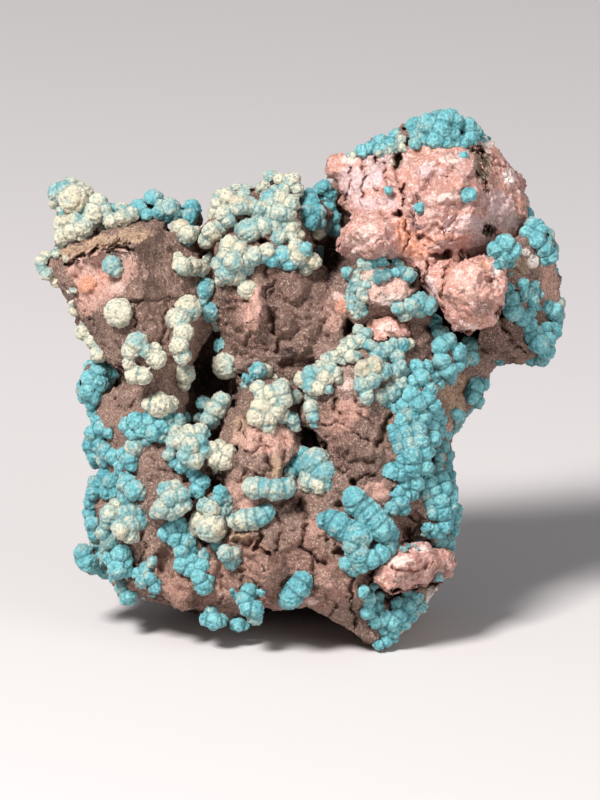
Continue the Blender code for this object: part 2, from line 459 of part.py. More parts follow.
        (168, 422, 6), (178, 421, 7), (185, 418, 6), (176, 432, 8), (174, 444, 7), (170, 455, 6),
        (174, 462, 5), (183, 466, 7), (190, 470, 6), (190, 433, 8), (199, 432, 8), (183, 441, 8),
        (191, 446, 9), (200, 442, 8), (204, 451, 7), (186, 456, 8), (195, 459, 9), (205, 434, 5),
        (212, 450, 8), (220, 447, 7), (229, 452, 7), (216, 458, 8), (225, 461, 8), (228, 467, 5),
        (210, 467, 8), (213, 472, 6), (197, 478, 7), (203, 482, 7), (198, 490, 7), (135, 447, 9),
        (130, 458, 8), (124, 453, 6), (132, 465, 6), (140, 443, 5),
    ],
    "cavity": [
        (221, 402, 9, -30), (216, 410, 10, -32), (211, 419, 9, -32), (204, 403, 7, -20),
        (198, 418, 5, -12), (226, 366, 12, -10), (222, 347, 8, 0), (234, 348, 8, 0),
    ],
    "left_foot": [
        (128, 484, 9), (135, 490, 9), (127, 496, 8), (141, 493, 6), (116, 507, 8), (110, 515, 9),
        (108, 522, 7), (134, 511, 9), (126, 514, 8), (142, 509, 7), (130, 524, 10), (140, 520, 9),
        (122, 529, 9), (131, 535, 8), (104, 532, 7), (110, 539, 8), (105, 547, 7), (112, 548, 6),
        (121, 553, 9), (112, 558, 8), (126, 561, 7), (118, 569, 9), (127, 571, 6), (124, 588, 8),
        (128, 597, 8), (139, 573, 6), (147, 569, 7), (152, 561, 5), (142, 581, 6), (151, 578, 6),
        (156, 587, 6), (160, 583, 4), (146, 595, 5), (152, 592, 5),
    ],
    "foot_front": [
        (167, 490, 8), (175, 488, 8), (181, 496, 9), (171, 498, 9), (185, 503, 7), (163, 508, 9),
        (171, 511, 8), (179, 507, 8), (157, 512, 6), (172, 528, 8), (181, 524, 7), (166, 533, 7),
        (175, 538, 7), (187, 541, 8), (183, 550, 8), (191, 548, 6), (182, 564, 7), (190, 568, 7),
        (192, 559, 6), (221, 493, 7), (226, 500, 6), (217, 500, 6), (229, 509, 6), (205, 505, 7),
        (212, 508, 8), (222, 512, 8), (228, 519, 6), (199, 520, 8), (196, 528, 7), (212, 527, 13),
        (218, 535, 8), (218, 545, 6), (226, 552, 8), (235, 551, 7), (232, 560, 8), (238, 559, 5),
        (204, 556, 6), (202, 566, 7), (199, 576, 7), (204, 586, 8), (209, 579, 5), (207, 618, 7),
        (214, 620, 8), (221, 620, 6), (212, 612, 6), (250, 590, 8), (246, 598, 8), (248, 607, 8),
        (255, 608, 8), (255, 616, 7), (262, 591, 4), (238, 624, 7), (244, 625, 5),
    ],
}

# Growth that carries over the top and round the back: a centre, a reach, a count and radii.
WRAPS = [
    ((72, 205, 40), 32, 26, 6, 10), ((120, 222, 45), 36, 26, 6, 9), ((170, 220, 45), 36, 26, 5, 9),
    ((235, 200, 40), 40, 34, 6, 10), ((285, 200, 40), 42, 38, 6, 10), ((436, 130, 40), 46, 40, 6, 10),
    ((378, 150, 40), 26, 16, 5, 8), ((540, 240, 40), 36, 24, 6, 9), ((550, 320, 45), 42, 30, 6, 9),
    ((480, 375, 50), 40, 20, 6, 9), ((440, 470, 45), 70, 56, 6, 9), ((96, 400, 50), 46, 34, 6, 9),
    ((92, 500, 50), 60, 46, 6, 9), ((120, 585, 45), 30, 18, 6, 8), ((230, 610, 40), 26, 10, 6, 8),
    ((150, 250, 100), 30, 18, 6, 9), ((235, 240, 110), 34, 22, 7, 10), ((320, 230, 110), 26, 12, 6, 9),
    ((500, 200, 90), 30, 16, 6, 9), ((440, 380, 120), 34, 20, 6, 10), ((440, 540, 95), 40, 24, 6, 9),
    ((110, 480, 95), 40, 24, 6, 9), ((190, 380, 120), 26, 12, 7, 10), ((330, 440, 150), 28, 14, 7, 11),
    ((230, 520, 140), 24, 10, 7, 11), ((160, 330, 115), 22, 8, 7, 10), ((380, 560, 135), 24, 10, 7, 10),
]


def at(across, down, depth):
    """A survey place as a point in metres: x to the right, y away from the viewer, z up."""
    return Vector((across - MIDDLE_ACROSS, depth, LOWEST_DOWN - down)) * TENTH


def clear_scene():
    for leftover in list(bpy.data.objects):
        bpy.data.objects.remove(leftover)


def object_from(mesh_builder, name):
    mesh = bpy.data.meshes.new(name)
    mesh_builder.to_mesh(mesh)
    mesh_builder.free()
    made = bpy.data.objects.new(name, mesh)
    bpy.context.scene.collection.objects.link(made)
    return made


def add_block(mesh_builder, corners):
    """One convex block, the hull of its corners."""
    points = [mesh_builder.verts.new(at(*corner)) for corner in corners]
    hull = bmesh.ops.convex_hull(mesh_builder, input=points, use_existing_faces=False)
    inside = [item for item in hull["geom_interior"] if isinstance(item, bmesh.types.BMVert)]
    bmesh.ops.delete(mesh_builder, geom=inside, context="VERTS")


def unit_ball():
    """The corners and faces of an icosphere of radius one."""
    ball = bmesh.new()
    bmesh.ops.create_icosphere(ball, subdivisions=3, radius=1)
    corners = [corner.co.copy() for corner in ball.verts]
    faces = [[corner.index for corner in face.verts] for face in ball.faces]
    ball.free()
    return corners, faces


def add_balls(mesh_builder, balls):
    """Copies of one icosphere, each with its centre and its half sizes along x, y and z."""
    corners, faces = unit_ball()
    points = []
    rings = []
    for centre, halves in balls:
        first = len(points)
        points += [centre + corner * halves for corner in corners]
        rings += [[first + index for index in face] for face in faces]
    mesh = bpy.data.meshes.new("balls")
    mesh.from_pydata(points, [], rings)
    mesh_builder.from_mesh(mesh)
    bpy.data.meshes.remove(mesh)


def remesh(made, voxel):
    fused = made.modifiers.new("fuse", "REMESH")
    fused.mode = "VOXEL"
    fused.voxel_size = voxel
    fused.use_smooth_shade = True


def roughen(made, name, kind, scale, strength):
    """Displaces the surface by a procedural texture whose features are scale metres across."""
    texture = bpy.data.textures.new(name, kind)
    texture.noise_scale = scale
    rough = made.modifiers.new(name, "DISPLACE")
    rough.texture = texture
    rough.texture_coords = "GLOBAL"
    rough.strength = strength
    rough.mid_level = 0.5


def evaluated_mesh(made, name):
    graph = bpy.context.evaluated_depsgraph_get()
    graph.update()
    return bpy.data.meshes.new_from_object(made.evaluated_get(graph), depsgraph=graph)


def build_matrix():
    """The bare rock: every block and knob fused and roughened."""
    shape = bmesh.new()
    for corners in BLOCKS.values():
        add_block(shape, corners)
    knobs = []
    for across, down, depth, half_width, half_height, half_depth in KNOBS:
        knobs.append((at(across, down, depth), Vector((half_width, half_depth, half_height)) * TENTH))
    add_balls(shape, knobs)
    rock = object_from(shape, "matrix")
    remesh(rock, ROCK_VOXEL)
    roughen(rock, "crags", "CLOUDS", 45 * TENTH, 10 * TENTH)
    roughen(rock, "chips", "VORONOI", 24 * TENTH, 10 * TENTH)
    return rock


def seated_lumps(rock_tree):
    """Every surveyed lump as (centre, radius), seated on the rock behind it."""
    lumps = []
    for crust in CRUSTS.values():
        for across, down, radius, *depth in crust:
            if depth:
                centre = at(across, down, depth[0])
            else:
                start = at(across, down, -400)
                hit = rock_tree.ray_cast(start, Vector((0, 1, 0)))[0]
                if hit is None:
                    centre = rock_tree.find_nearest(at(across, down, 20))[0]
                else:
                    centre = hit - Vector((0, LUMP_SEAT * radius * TENTH, 0))
            lumps.append((centre, radius * TENTH))
    return lumps


def wrapped_lumps(rock_tree, rock_mesh):
    """Lumps strewn over the tops, edges and back near the crusts, never on the display face."""
    picker = random.Random(7)
    lumps = []
    for place, reach, count, least, most in WRAPS:
        middle = at(*place)
        near = [
            face.center.copy()
            for face in rock_mesh.polygons
            if (face.center - middle).length < reach * TENTH and face.normal.y > -0.1
        ]
        for centre in picker.sample(near, min(count, len(near))):
            radius = picker.uniform(least, most) * TENTH
            if all((centre - other).length > 0.8 * radius for other, _ in lumps):
                lumps.append((centre, radius))
    return lumps


def fuse_growth():
    """Rock and lumps as one closed surface, with the display face's lumps as (centre, radius)."""
    rock = build_matrix()
    rock_mesh = evaluated_mesh(rock, "rock")
    growth = bmesh.new()
    growth.from_mesh(rock_mesh)
    rock_tree = BVHTree.FromBMesh(growth)
    face_lumps = seated_lumps(rock_tree)
    lumps = face_lumps + wrapped_lumps(rock_tree, rock_mesh)
    add_balls(growth, [(centre, Vector((radius, radius, radius))) for centre, radius in lumps])
    bpy.data.objects.remove(rock)
    fused = object_from(growth, "growth")
    remesh(fused, SPECIMEN_VOXEL)
    fused_mesh = evaluated_mesh(fused, "fused")
    bpy.data.objects.remove(fused)
    return fused_mesh, face_lumps


def thin_out(fused_mesh, face_lumps):
    """Fewer triangles, the most of them kept on the lumps of the display face."""
    lump_tree = KDTree(len(face_lumps))
    for index, (centre, _) in enumerate(face_lumps):
        lump_tree.insert(centre, index)
    lump_tree.balance()
    fused = bpy.data.objects.new("fused", fused_mesh)
    bpy.context.scene.collection.objects.link(fused)
    ease = fused.vertex_groups.new(name="ease")
    for corner in fused_mesh.vertices:
        _, index, distance = lump_tree.find(corner.co)
        on_lump = distance < 1.2 * face_lumps[index][1] and corner.normal.y < 0.3
        ease.add([corner.index], LUMP_EASE if on_lump else 1, "REPLACE")
    thinner = fused.modifiers.new("thin", "DECIMATE")
    thinner.ratio = MOST_TRIANGLES / (2 * len(fused_mesh.polygons))
    thinner.vertex_group = ease.name
    thinner.vertex_group_factor = 1
    thinned = evaluated_mesh(fused, "thinned")
    bpy.data.objects.remove(fused)
    return thinned


def finished_frame():
    """From the survey's frame to the leaning one."""
    return Matrix.Rotation(-LEAN, 4, "X")


def stand_on_base(mesh):
    """Leans the display face back, trims the base flat and sets the middle of its box over zero."""
    shape = bmesh.new()
    shape.from_mesh(mesh)
    bmesh.ops.transform(shape, matrix=finished_frame(), verts=shape.verts)
    cut = bmesh.ops.bisect_plane(
        shape, geom=shape.verts[:] + shape.edges[:] + shape.faces[:], dist=1e-7,
        plane_co=(0, 0, TRIM_HEIGHT), plane_no=(0, 0, -1), clear_outer=True,
    )
    rim = [item for item in cut["geom_cut"] if isinstance(item, bmesh.types.BMEdge)]
    bmesh.ops.holes_fill(shape, edges=rim, sides=0)
    across = [corner.co.x for corner in shape.verts]
    away = [corner.co.y for corner in shape.verts]
    middle = Vector(((min(across) + max(across)) / 2, (min(away) + max(away)) / 2, TRIM_HEIGHT))
    print("shift", [round(value * 1e4, 3) for value in middle])
    bmesh.ops.translate(shape, vec=-middle, verts=shape.verts)
    bmesh.ops.triangulate(shape, faces=shape.faces)
    return object_from(shape, "specimen")


def botryoidal_crust():
    """The solid's one material, the blue-green of its crusts."""
    material = bpy.data.materials.new("botryoidal_crust")
    material.use_nodes = True
    shader = material.node_tree.nodes["Principled BSDF"]
    shader.inputs["Base Color"].default_value = CRUST_COLOUR
    shader.inputs["Roughness"].default_value = 0.7
    material.diffuse_color = CRUST_COLOUR
    return material


def main():
    clear_scene()
    fused_mesh, face_lumps = fuse_growth()
    specimen = stand_on_base(thin_out(fused_mesh, face_lumps))
    specimen.data.materials.append(botryoidal_crust())
    home = bpy.data.collections.new("veszelyite_specimen")
    bpy.context.scene.collection.children.link(home)
    bpy.context.scene.collection.objects.unlink(specimen)
    home.objects.link(specimen)


main()
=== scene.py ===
"""The looks of the mineral specimen: fine rock, pink spar and warty blue-green lumps.

The display face is laid out on the same survey grid as the model, in tenths of a millimetre.
A place is (across, down, depth). The rock is fused from convex blocks and knobs, then
roughened down to its sugary grain. Each crust of lumps is fused from balls that sit on the rock.
"""

import math
import random

import bmesh
import bpy
import numpy as np
from mathutils import Matrix, Vector
from mathutils.bvhtree import BVHTree
from mathutils.kdtree import KDTree

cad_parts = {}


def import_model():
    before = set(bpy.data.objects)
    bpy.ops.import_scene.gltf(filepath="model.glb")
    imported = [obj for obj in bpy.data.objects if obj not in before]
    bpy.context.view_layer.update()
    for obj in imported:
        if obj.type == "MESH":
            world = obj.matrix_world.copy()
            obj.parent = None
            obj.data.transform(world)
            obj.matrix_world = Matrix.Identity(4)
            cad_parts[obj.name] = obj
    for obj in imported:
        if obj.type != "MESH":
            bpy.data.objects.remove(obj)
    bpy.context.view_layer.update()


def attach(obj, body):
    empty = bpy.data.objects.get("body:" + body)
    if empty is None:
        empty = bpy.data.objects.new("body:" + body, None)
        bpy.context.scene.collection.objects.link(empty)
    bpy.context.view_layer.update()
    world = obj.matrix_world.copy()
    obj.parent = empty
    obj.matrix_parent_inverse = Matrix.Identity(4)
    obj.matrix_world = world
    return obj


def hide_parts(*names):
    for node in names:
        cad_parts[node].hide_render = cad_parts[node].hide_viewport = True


TENTH = 0.0001  # the survey's unit, in metres

MIDDLE_ACROSS = 300  # the survey column that becomes x = 0 before centring
LOWEST_DOWN = 650  # the survey row level with the lowest tip
LEAN = math.radians(16)  # how far the display face leans back
BOX_MIDDLE = Vector((1.41, 90.8, 8.0)) * TENTH  # the leaning survey's place of the frame's origin

ROCK_VOXEL = 5 * TENTH  # for the rock's main form, as in the model
MATRIX_VOXEL = 2 * TENTH
SPAR_VOXEL = 1.7 * TENTH
CRUST_VOXEL = 1.4 * TENTH
WRAP_VOXEL = 2 * TENTH
MATRIX_TRIANGLES = 330000
SPAR_TRIANGLES = 130000
FACE_SHARE = 0.2  # how readily the display face is thinned, set against the rest
FACE_LIMIT = 0.3  # a corner that faces the viewer more than this is on the display face
FACING_GAIN = 2.5  # how soon a turned surface counts as facing the viewer

KNOB_DETAIL = 3  # how often a ball's faces are split
LUMP_DETAIL = 4
LUMP_SEAT = 0.4  # a lump's centre stands this share of its radius off the rock
LUMP_SWELL = 1.14  # lumps grow into one another, to this share of their surveyed radius
IN_FRONT = -400  # a depth in front of the whole specimen
MISSED_DEPTH = 20  # the depth of a lump that has no rock behind it
WRAP_SINK = 0.5  # lumps off the display face are sunk by this share of their radius
WRAP_GAP = 0.8  # and their centres stand this share of a radius apart
WRAP_COAT = 0.2
WRAP_SIDE = -0.1  # they grow where the rock faces the viewer less than this
SPRINKLE_SIZES = (0.7, 1.25)  # the shares of the given radius between which small lumps vary
SPRINKLE_COAT = 0.2  # how far their coats vary

CRUST_HIDDEN = 1.8 * TENTH  # a crust is cut away deeper than this in the rock
ROCK_HIDDEN = 6 * TENTH  # one rock is cut away deeper than this in the other
ROCK_COVERED = 2 * TENTH  # the rock is cut away deeper than this in a lump
ROCK_CRUMB = 60  # loose bits with fewer corners than this are removed
CRUST_CRUMB = 90
SPRINKLE_CRUMB = 24
CREASE_WIDTH = 3.5 * TENTH
COVERING_LUMPS = 3  # how many of the nearest lumps may cover a corner of rock
TOUCHING_LUMPS = 4  # how many of the nearest lumps may share a crease at a corner
TINY = 1e-6  # keeps a share of nothing from being a division by zero

# Roughness, each a name, a kind, the width of its features and its height.
CRAGS = ("crags", "CLOUDS", 45 * TENTH, 10 * TENTH)
CHIPS = ("chips", "VORONOI", 24 * TENTH, 10 * TENTH)
MATRIX_SWELL = ("lumpy", "CLOUDS", 17 * TENTH, 6 * TENTH)
MATRIX_GRAIN = (
    ("sugar", "VORONOI", 4 * TENTH, -2 * TENTH),
    ("crumb", "CLOUDS", 2.5 * TENTH, 2 * TENTH),
)
SPAR_SWELL = ("broken", "CLOUDS", 15 * TENTH, 8 * TENTH)
SPAR_GRAIN = (
    ("chippy", "CLOUDS", 6 * TENTH, 2 * TENTH),
    ("crumb", "CLOUDS", 2.5 * TENTH, 2.2 * TENTH),
)
LUMP_GRAIN = (
    ("swell", "CLOUDS", 8 * TENTH, 4.2 * TENTH),
    ("warts", "VORONOI", 4 * TENTH, -1.9 * TENTH),
    ("pimples", "CLOUDS", 2 * TENTH, 2.4 * TENTH),
)

# Broken facets, each a width, how far a corner may move and how much a facet is tilted.
MATRIX_FACETS = ((40 * TENTH, 5 * TENTH, 0.06), (10 * TENTH, 2 * TENTH, 0.18))
SPAR_FACETS = ((26 * TENTH, 6 * TENTH, 0.1), (8 * TENTH, 2.5 * TENTH, 0.3))

# How carved marks wander off their straight lines: a reach and two wave lengths each.
ACROSS_WAVES = ((1.5, 3.3, 7), (0.9, 1.5, -2.9))
DOWN_WAVES = ((1.5, 3.7, -8), (0.9, 1.6, 2.7))
GROOVE_EDGE = 1.3  # a groove is flat along its middle, and its sides are this steep
HOLLOW_EDGE = 2.2
STAIN_EDGE = 2
STAIN_REACH = 1.15  # a stain fades out at this share of its half width

SPREAD_SEED = 11  # for the small lumps strewn over the rock
WRAP_SEED = 7
FACET_SEED = 5
FACET_SHIFT = 0.45  # how far a facet's middle may stray, as a share of its width

FACE_MIDDLE = (300, 400, 0)  # the survey place that the camera looks at
CAMERA_AWAY = 1.2  # metres
CAMERA_LENS = 540
CAMERA_SENSOR = 36
CAMERA_REACH = 10
LIGHT_AIM = Vector((0, 0, 0.025))
KEY_LIGHT = ("key", (-0.3, -0.4, 0.6), 0.2, 9.4)  # a name, a place, a width and a power
FILL_LIGHT = ("fill", (0.6, -0.5, 0.3), 0.6, 2.5)
SKY_COLOUR = (0.9, 0.93, 1, 1)
SKY_STRENGTH = 0.22
FLOOR_SIZE = 3
FLOOR_COLOUR = (0.62, 0.58, 0.57, 1)

MIX_COLOURS = (6, 7)  # the mixing node's two colour inputs
MIX_RESULT = 2  # and its colour output

# Convex blocks of the matrix, each by its corners (across, down, depth).
BLOCKS = {
    "left_crag": [
        (46, 263, 15), (58, 249, 30), (110, 238, -10), (152, 223, -15), (168, 232, -10),
        (140, 252, -72), (142, 340, -76), (206, 290, -10), (209, 332, -8), (192, 364, -20),
        (72, 302, 12), (98, 352, 12), (152, 394, -50), (62, 256, 90), (160, 230, 90),
        (208, 300, 90), (190, 372, 90), (92, 345, 90), (122, 402, 90),
    ],
    "left_crag_rim": [
        (47, 262, 8), (60, 247, 20), (152, 222, -30), (165, 229, -25), (135, 247, -84),
        (96, 254, -60), (58, 266, -8), (130, 252, -78), (60, 250, 70), (160, 228, 70),
    ],
    "left_shoulder": [
        (102, 392, 5), (112, 400, -20), (160, 384, -50), (190, 378, -20), (185, 400, -35),
        (148, 440, -42), (178, 470, -48), (112, 455, 0), (135, 500, -40), (108, 480, 10),
        (104, 400, 90), (190, 380, 90), (108, 480, 90), (190, 480, 90),
    ],
    "left_foot": [
        (104, 470, 15), (138, 460, -30), (180, 455, -55), (215, 480, -30), (218, 560, -38),
        (98, 520, 22), (97, 562, 30), (130, 590, 18), (160, 602, -5), (150, 555, -42),
        (175, 545, -35), (150, 495, -52), (104, 480, 90), (100, 560, 95), (160, 600, 95),
        (230, 480, 90), (240, 600, 95),
    ],
    "left_toe": [
        (168, 568, -28), (198, 572, -36), (181, 614, -34), (160, 598, -20), (202, 602, -24),
        (182, 585, -52), (170, 570, 60), (200, 600, 60), (178, 608, 30),
    ],
    "column_left": [
        (222, 268, -28), (262, 262, -38), (262, 300, -42), (258, 345, -44), (240, 372, -25),
        (228, 340, -15), (210, 300, -12), (205, 272, -5), (250, 322, -52), (215, 285, 90),
        (262, 270, 90), (245, 372, 90), (222, 330, 90),
    ],
    "column_right": [
        (262, 260, -30), (320, 262, -28), (338, 275, -22), (345, 330, -40), (330, 352, -45),
        (300, 365, -40), (262, 352, -30), (292, 300, -52), (322, 330, -55), (265, 270, 90),
        (340, 275, 90), (330, 355, 90), (270, 360, 90),
    ],
    "column_foot": [
        (236, 372, 0), (262, 348, -32), (300, 352, -30), (330, 350, -45), (318, 378, -40),
        (285, 384, -22), (250, 372, -20), (228, 398, 5), (250, 400, 10), (240, 380, 90),
        (330, 380, 90), (320, 460, 60), (235, 420, 90),
    ],
    "saddle": [
        (196, 238, 12), (215, 250, 6), (212, 285, 8), (205, 330, 12), (196, 300, 5), (180, 235, 20),
        (196, 240, 90), (225, 260, 90), (210, 330, 90),
    ],
    "crest_base": [
        (222, 196, 12), (262, 188, 0), (292, 192, 5), (308, 215, -6), (310, 255, -28),
        (268, 240, -38), (232, 248, -34), (214, 225, -8), (224, 275, -30), (250, 262, -46),
        (298, 262, -36), (225, 200, 80), (295, 195, 80), (318, 260, 80), (215, 250, 80),
    ],
    "pink_summit": [
        (402, 152, -22), (425, 128, 0), (462, 126, 0), (478, 148, -15), (500, 165, 8),
        (526, 208, 12), (404, 216, -44), (440, 256, -58), (486, 238, -46), (474, 192, -76),
        (430, 172, -62), (452, 216, -86), (410, 190, -50), (400, 140, 90), (470, 135, 90),
        (530, 220, 100), (430, 262, 70), (540, 262, 90),
    ],
    "pink_shoulder": [
        (342, 160, 8), (362, 152, 0), (402, 134, 4), (402, 150, -20), (345, 206, -12),
        (400, 218, -42), (338, 192, 2), (372, 182, -42), (392, 176, -40), (356, 212, -36),
        (345, 165, 90), (400, 140, 90), (398, 220, 80), (345, 215, 80),
    ],
    "pink_spur": [
        (317, 162, 12), (321, 169, 14), (350, 151, 0), (352, 174, -12), (348, 158, 40),
        (360, 198, 10), (334, 180, 18), (330, 156, 4), (338, 170, -10),
    ],
    "pink_ridge": [
        (474, 127, 22), (490, 138, 18), (504, 165, 14), (518, 169, 16), (513, 188, 18),
        (526, 206, 22), (480, 205, -22), (478, 150, -4), (502, 190, -18), (528, 232, 2),
        (474, 130, 75), (518, 180, 75), (530, 215, 75),
    ],
    "pink_block_left": [
        (338, 247, -52), (350, 222, -60), (372, 210, -66), (384, 215, -78), (401, 222, -62),
        (397, 256, -68), (345, 259, -58), (372, 259, -84), (364, 232, -96), (388, 232, -88),
        (350, 228, 20), (400, 225, 20), (395, 258, 20), (345, 255, 20),
    ],
    "orange_saddle": [
        (385, 214, -50), (412, 212, -50), (436, 240, -58), (432, 258, -54), (412, 262, -58),
        (392, 260, -60), (405, 236, -68), (390, 215, 40), (436, 240, 40), (410, 262, 40),
    ],
    "pink_block_right": [
        (447, 268, -82), (480, 258, -88), (500, 262, -78), (501, 290, -98), (497, 318, -88),
        (470, 332, -84), (463, 337, -80), (447, 322, -74), (441, 295, -84), (470, 282, -120),
        (486, 306, -112), (452, 272, -10), (500, 270, -10), (494, 320, -10), (455, 322, -10),
    ],
    "pink_web": [
        (414, 268, -58), (428, 258, -54), (448, 262, -56), (442, 302, -66), (422, 288, -58),
        (428, 276, -66), (416, 270, 40), (450, 265, 40), (442, 300, 40), (470, 262, 30),
        (470, 290, 30),
    ],
    "right_wall": [
        (498, 250, -38), (522, 262, -32), (553, 262, 8), (559, 300, 18), (560, 332, 20),
        (545, 362, 2), (526, 356, -14), (506, 300, -44), (513, 330, -34), (540, 232, 10),
        (555, 262, 80), (558, 330, 72), (525, 356, 60), (500, 250, 90), (480, 320, 60),
    ],
    "brown_overhang": [
        (492, 316, -66), (513, 322, -40), (528, 345, -24), (528, 359, -14), (504, 360, 4),
        (478, 346, -28), (474, 337, -44), (500, 362, 60), (480, 340, 60), (528, 350, 50),
    ],
    "encrusted_block": [
        (345, 272, -46), (364, 260, -52), (410, 262, -56), (415, 285, -60), (408, 315, -62),
        (352, 320, -54), (346, 295, -52), (380, 290, -80), (398, 300, -76), (350, 270, 40),
        (412, 270, 40), (408, 330, 40), (352, 320, 40),
    ],
    "pink_oval": [
        (366, 322, -58), (380, 314, -64), (398, 318, -66), (409, 330, -60), (404, 340, -58),
        (382, 343, -58), (385, 328, -82), (368, 330, 20), (408, 330, 20), (388, 345, 20),
    ],
    "brown_facet": [
        (404, 322, -52), (424, 316, -40), (434, 362, -38), (404, 366, -56), (420, 345, -52),
        (405, 330, 60), (432, 330, 60), (434, 365, 60), (405, 370, 60),
    ],
    "crust_bridge": [
        (298, 378, -62), (325, 358, -62), (360, 332, -58), (408, 345, -56), (408, 380, -62),
        (384, 400, -66), (345, 392, -76), (312, 392, -72), (372, 366, -80), (335, 376, -78),
        (312, 365, 40), (405, 350, 60), (400, 400, 60), (318, 395, 40),
    ],
    "heart": [
        (312, 394, -58), (345, 384, -74), (385, 398, -68), (395, 425, -66), (393, 462, -64),
        (386, 488, -74), (326, 450, -56), (335, 420, -82), (319, 430, -56), (366, 440, -96),
        (350, 408, -90), (345, 492, -84), (330, 470, -64), (320, 400, 60), (395, 400, 60),
        (390, 490, 60), (335, 480, 60),
    ],
    "right_flank": [
        (400, 362, -48), (436, 370, -30), (442, 430, -6), (446, 480, -4), (455, 512, 0),
        (450, 545, 2), (446, 562, 2), (398, 400, -64), (396, 480, -74), (412, 520, -66),
        (426, 450, -50), (438, 520, -42), (408, 440, -68), (438, 380, 70), (450, 480, 80),
        (455, 520, 70), (445, 560, 70), (400, 560, 60),
    ],
    "sloping_slab": [
        (504, 346, 12), (478, 381, 16), (453, 430, 12), (440, 442, 2), (436, 402, -12),
        (440, 380, -18), (470, 350, -8), (502, 350, 70), (453, 432, 70), (474, 386, 78),
        (440, 440, 70),
    ],
    "pyramid": [
        (262, 384, -44), (246, 394, -36), (295, 396, -38), (229, 415, -38), (225, 470, -44),
        (301, 436, -50), (298, 456, -50), (280, 470, -72), (250, 436, -84), (246, 484, -86),
        (268, 502, -78), (233, 505, -56), (272, 452, -80), (250, 395, 60), (298, 400, 60),
        (230, 470, 60), (300, 500, 60),
    ],
    "hearth": [
        (286, 470, -40), (335, 470, -58), (345, 498, -80), (398, 480, -72), (400, 545, -72),
        (345, 560, -76), (300, 500, -66), (272, 500, -66), (300, 548, -84), (262, 545, -86),
        (232, 520, -58), (215, 560, -46), (226, 600, -34), (270, 600, -52), (312, 604, -58),
        (330, 520, -82), (230, 480, 60), (400, 480, 60), (400, 560, 60), (225, 600, 60),
    ],
    "wedge_ridge": [
        (254, 552, -88), (270, 548, -94), (286, 566, -86), (280, 603, -56), (272, 600, -52),
        (252, 578, -78), (264, 570, -102), (262, 590, -84), (255, 560, 20), (285, 570, 20),
        (278, 600, 20),
    ],
    "centre_keel": [
        (313, 560, -72), (345, 552, -80), (368, 570, -80), (348, 590, -86), (311, 603, -70),
        (326, 614, -58), (350, 626, -50), (372, 646, -32), (366, 592, -62), (362, 632, -44),
        (330, 580, -86), (320, 560, 60), (370, 600, 60), (350, 622, 40), (372, 640, 20),
    ],
    "pink_slab": [
        (368, 578, -82), (384, 593, -86), (400, 544, -78), (440, 548, -54), (449, 560, -40),
        (448, 576, -40), (426, 580, -60), (410, 588, -74), (396, 566, -98), (420, 560, -84),
        (380, 560, 40), (445, 560, 60), (440, 580, 60), (390, 590, 40),
    ],
    "lower_flank": [
        (425, 578, -50), (440, 578, -44), (436, 592, -30), (432, 590, -20), (414, 590, -50),
        (440, 560, 60), (432, 600, 60), (400, 590, 60), (400, 560, 0),
    ],
    "tip_recess": [
        (362, 590, -38), (372, 640, -28), (380, 649, -24), (404, 630, -16), (430, 600, -10),
        (426, 588, -30), (395, 610, -30), (372, 640, 30), (430, 598, 60), (368, 590, 60),
        (400, 628, 60),
    ],
    "tip_rim": [
        (433, 590, -26), (428, 606, -26), (404, 632, -34), (380, 650, -36), (372, 646, -34),
        (378, 636, -28), (400, 622, -22), (424, 600, -16), (430, 592, 20), (384, 644, 20),
    ],
    "hull_left": [
        (205, 562, -44), (246, 574, -50), (242, 616, -28), (206, 612, -26), (216, 600, -48),
        (232, 616, -34), (204, 560, 60), (245, 600, 60), (206, 606, 60), (240, 612, 60),
    ],
    "core_upper": [
        (95, 290, 62), (170, 245, 62), (230, 222, 58), (330, 200, 52), (400, 155, 40),
        (490, 160, 45), (538, 235, 40), (548, 330, 40), (470, 356, 40), (330, 380, 55),
        (200, 385, 70), (120, 300, 92), (220, 245, 104), (330, 222, 112), (430, 182, 110),
        (508, 222, 100), (518, 318, 92), (440, 372, 112), (200, 372, 110),
    ],
    "core_lower": [
        (115, 400, 62), (200, 390, 70), (330, 370, 55), (436, 380, 50), (448, 480, 50),
        (440, 580, 50), (400, 615, 50), (300, 596, 55), (200, 600, 50), (115, 570, 60),
        (130, 420, 94), (240, 380, 112), (400, 380, 116), (428, 480, 108), (410, 590, 104),
        (240, 596, 110), (135, 560, 90),
    ],
    "back_summit": [
        (398, 150, 58), (468, 138, 66), (516, 180, 86), (530, 238, 104), (452, 196, 132),
        (404, 236, 124), (500, 282, 122), (424, 304, 112), (470, 250, 138),
    ],
    "back_shoulder": [
        (326, 206, 88), (404, 178, 98), (432, 290, 134), (352, 306, 134), (304, 262, 112),
        (378, 220, 132), (330, 240, 126), (400, 330, 120),
    ],
    "back_crest": [
        (214, 226, 78), (300, 214, 80), (334, 262, 116), (236, 262, 124), (208, 306, 120),
        (300, 326, 134), (256, 346, 140), (286, 280, 138),
    ],
    "back_left_crag": [
        (60, 256, 84), (158, 230, 84), (208, 262, 104), (204, 334, 126), (108, 300, 114),
        (92, 345, 92), (152, 384, 106), (150, 270, 122), (176, 360, 122),
    ],
    "back_right_wall": [
        (555, 262, 76), (558, 330, 70), (520, 300, 108), (504, 352, 100), (468, 334, 122),
        (538, 240, 78), (528, 270, 108), (480, 290, 124),
    ],
    "back_waist": [
        (196, 352, 112), (330, 334, 132), (444, 342, 122), (464, 396, 92), (424, 442, 128),
        (302, 424, 146), (200, 430, 124), (116, 404, 92), (352, 384, 150), (238, 392, 138),
    ],
    "back_lower_left": [
        (106, 430, 84), (100, 536, 92), (200, 442, 124), (252, 502, 140), (206, 592, 128),
        (122, 588, 88), (168, 500, 134), (236, 560, 138),
    ],
    "back_lower_right": [
        (296, 446, 136), (434, 450, 128), (452, 520, 92), (442, 584, 92), (362, 600, 134),
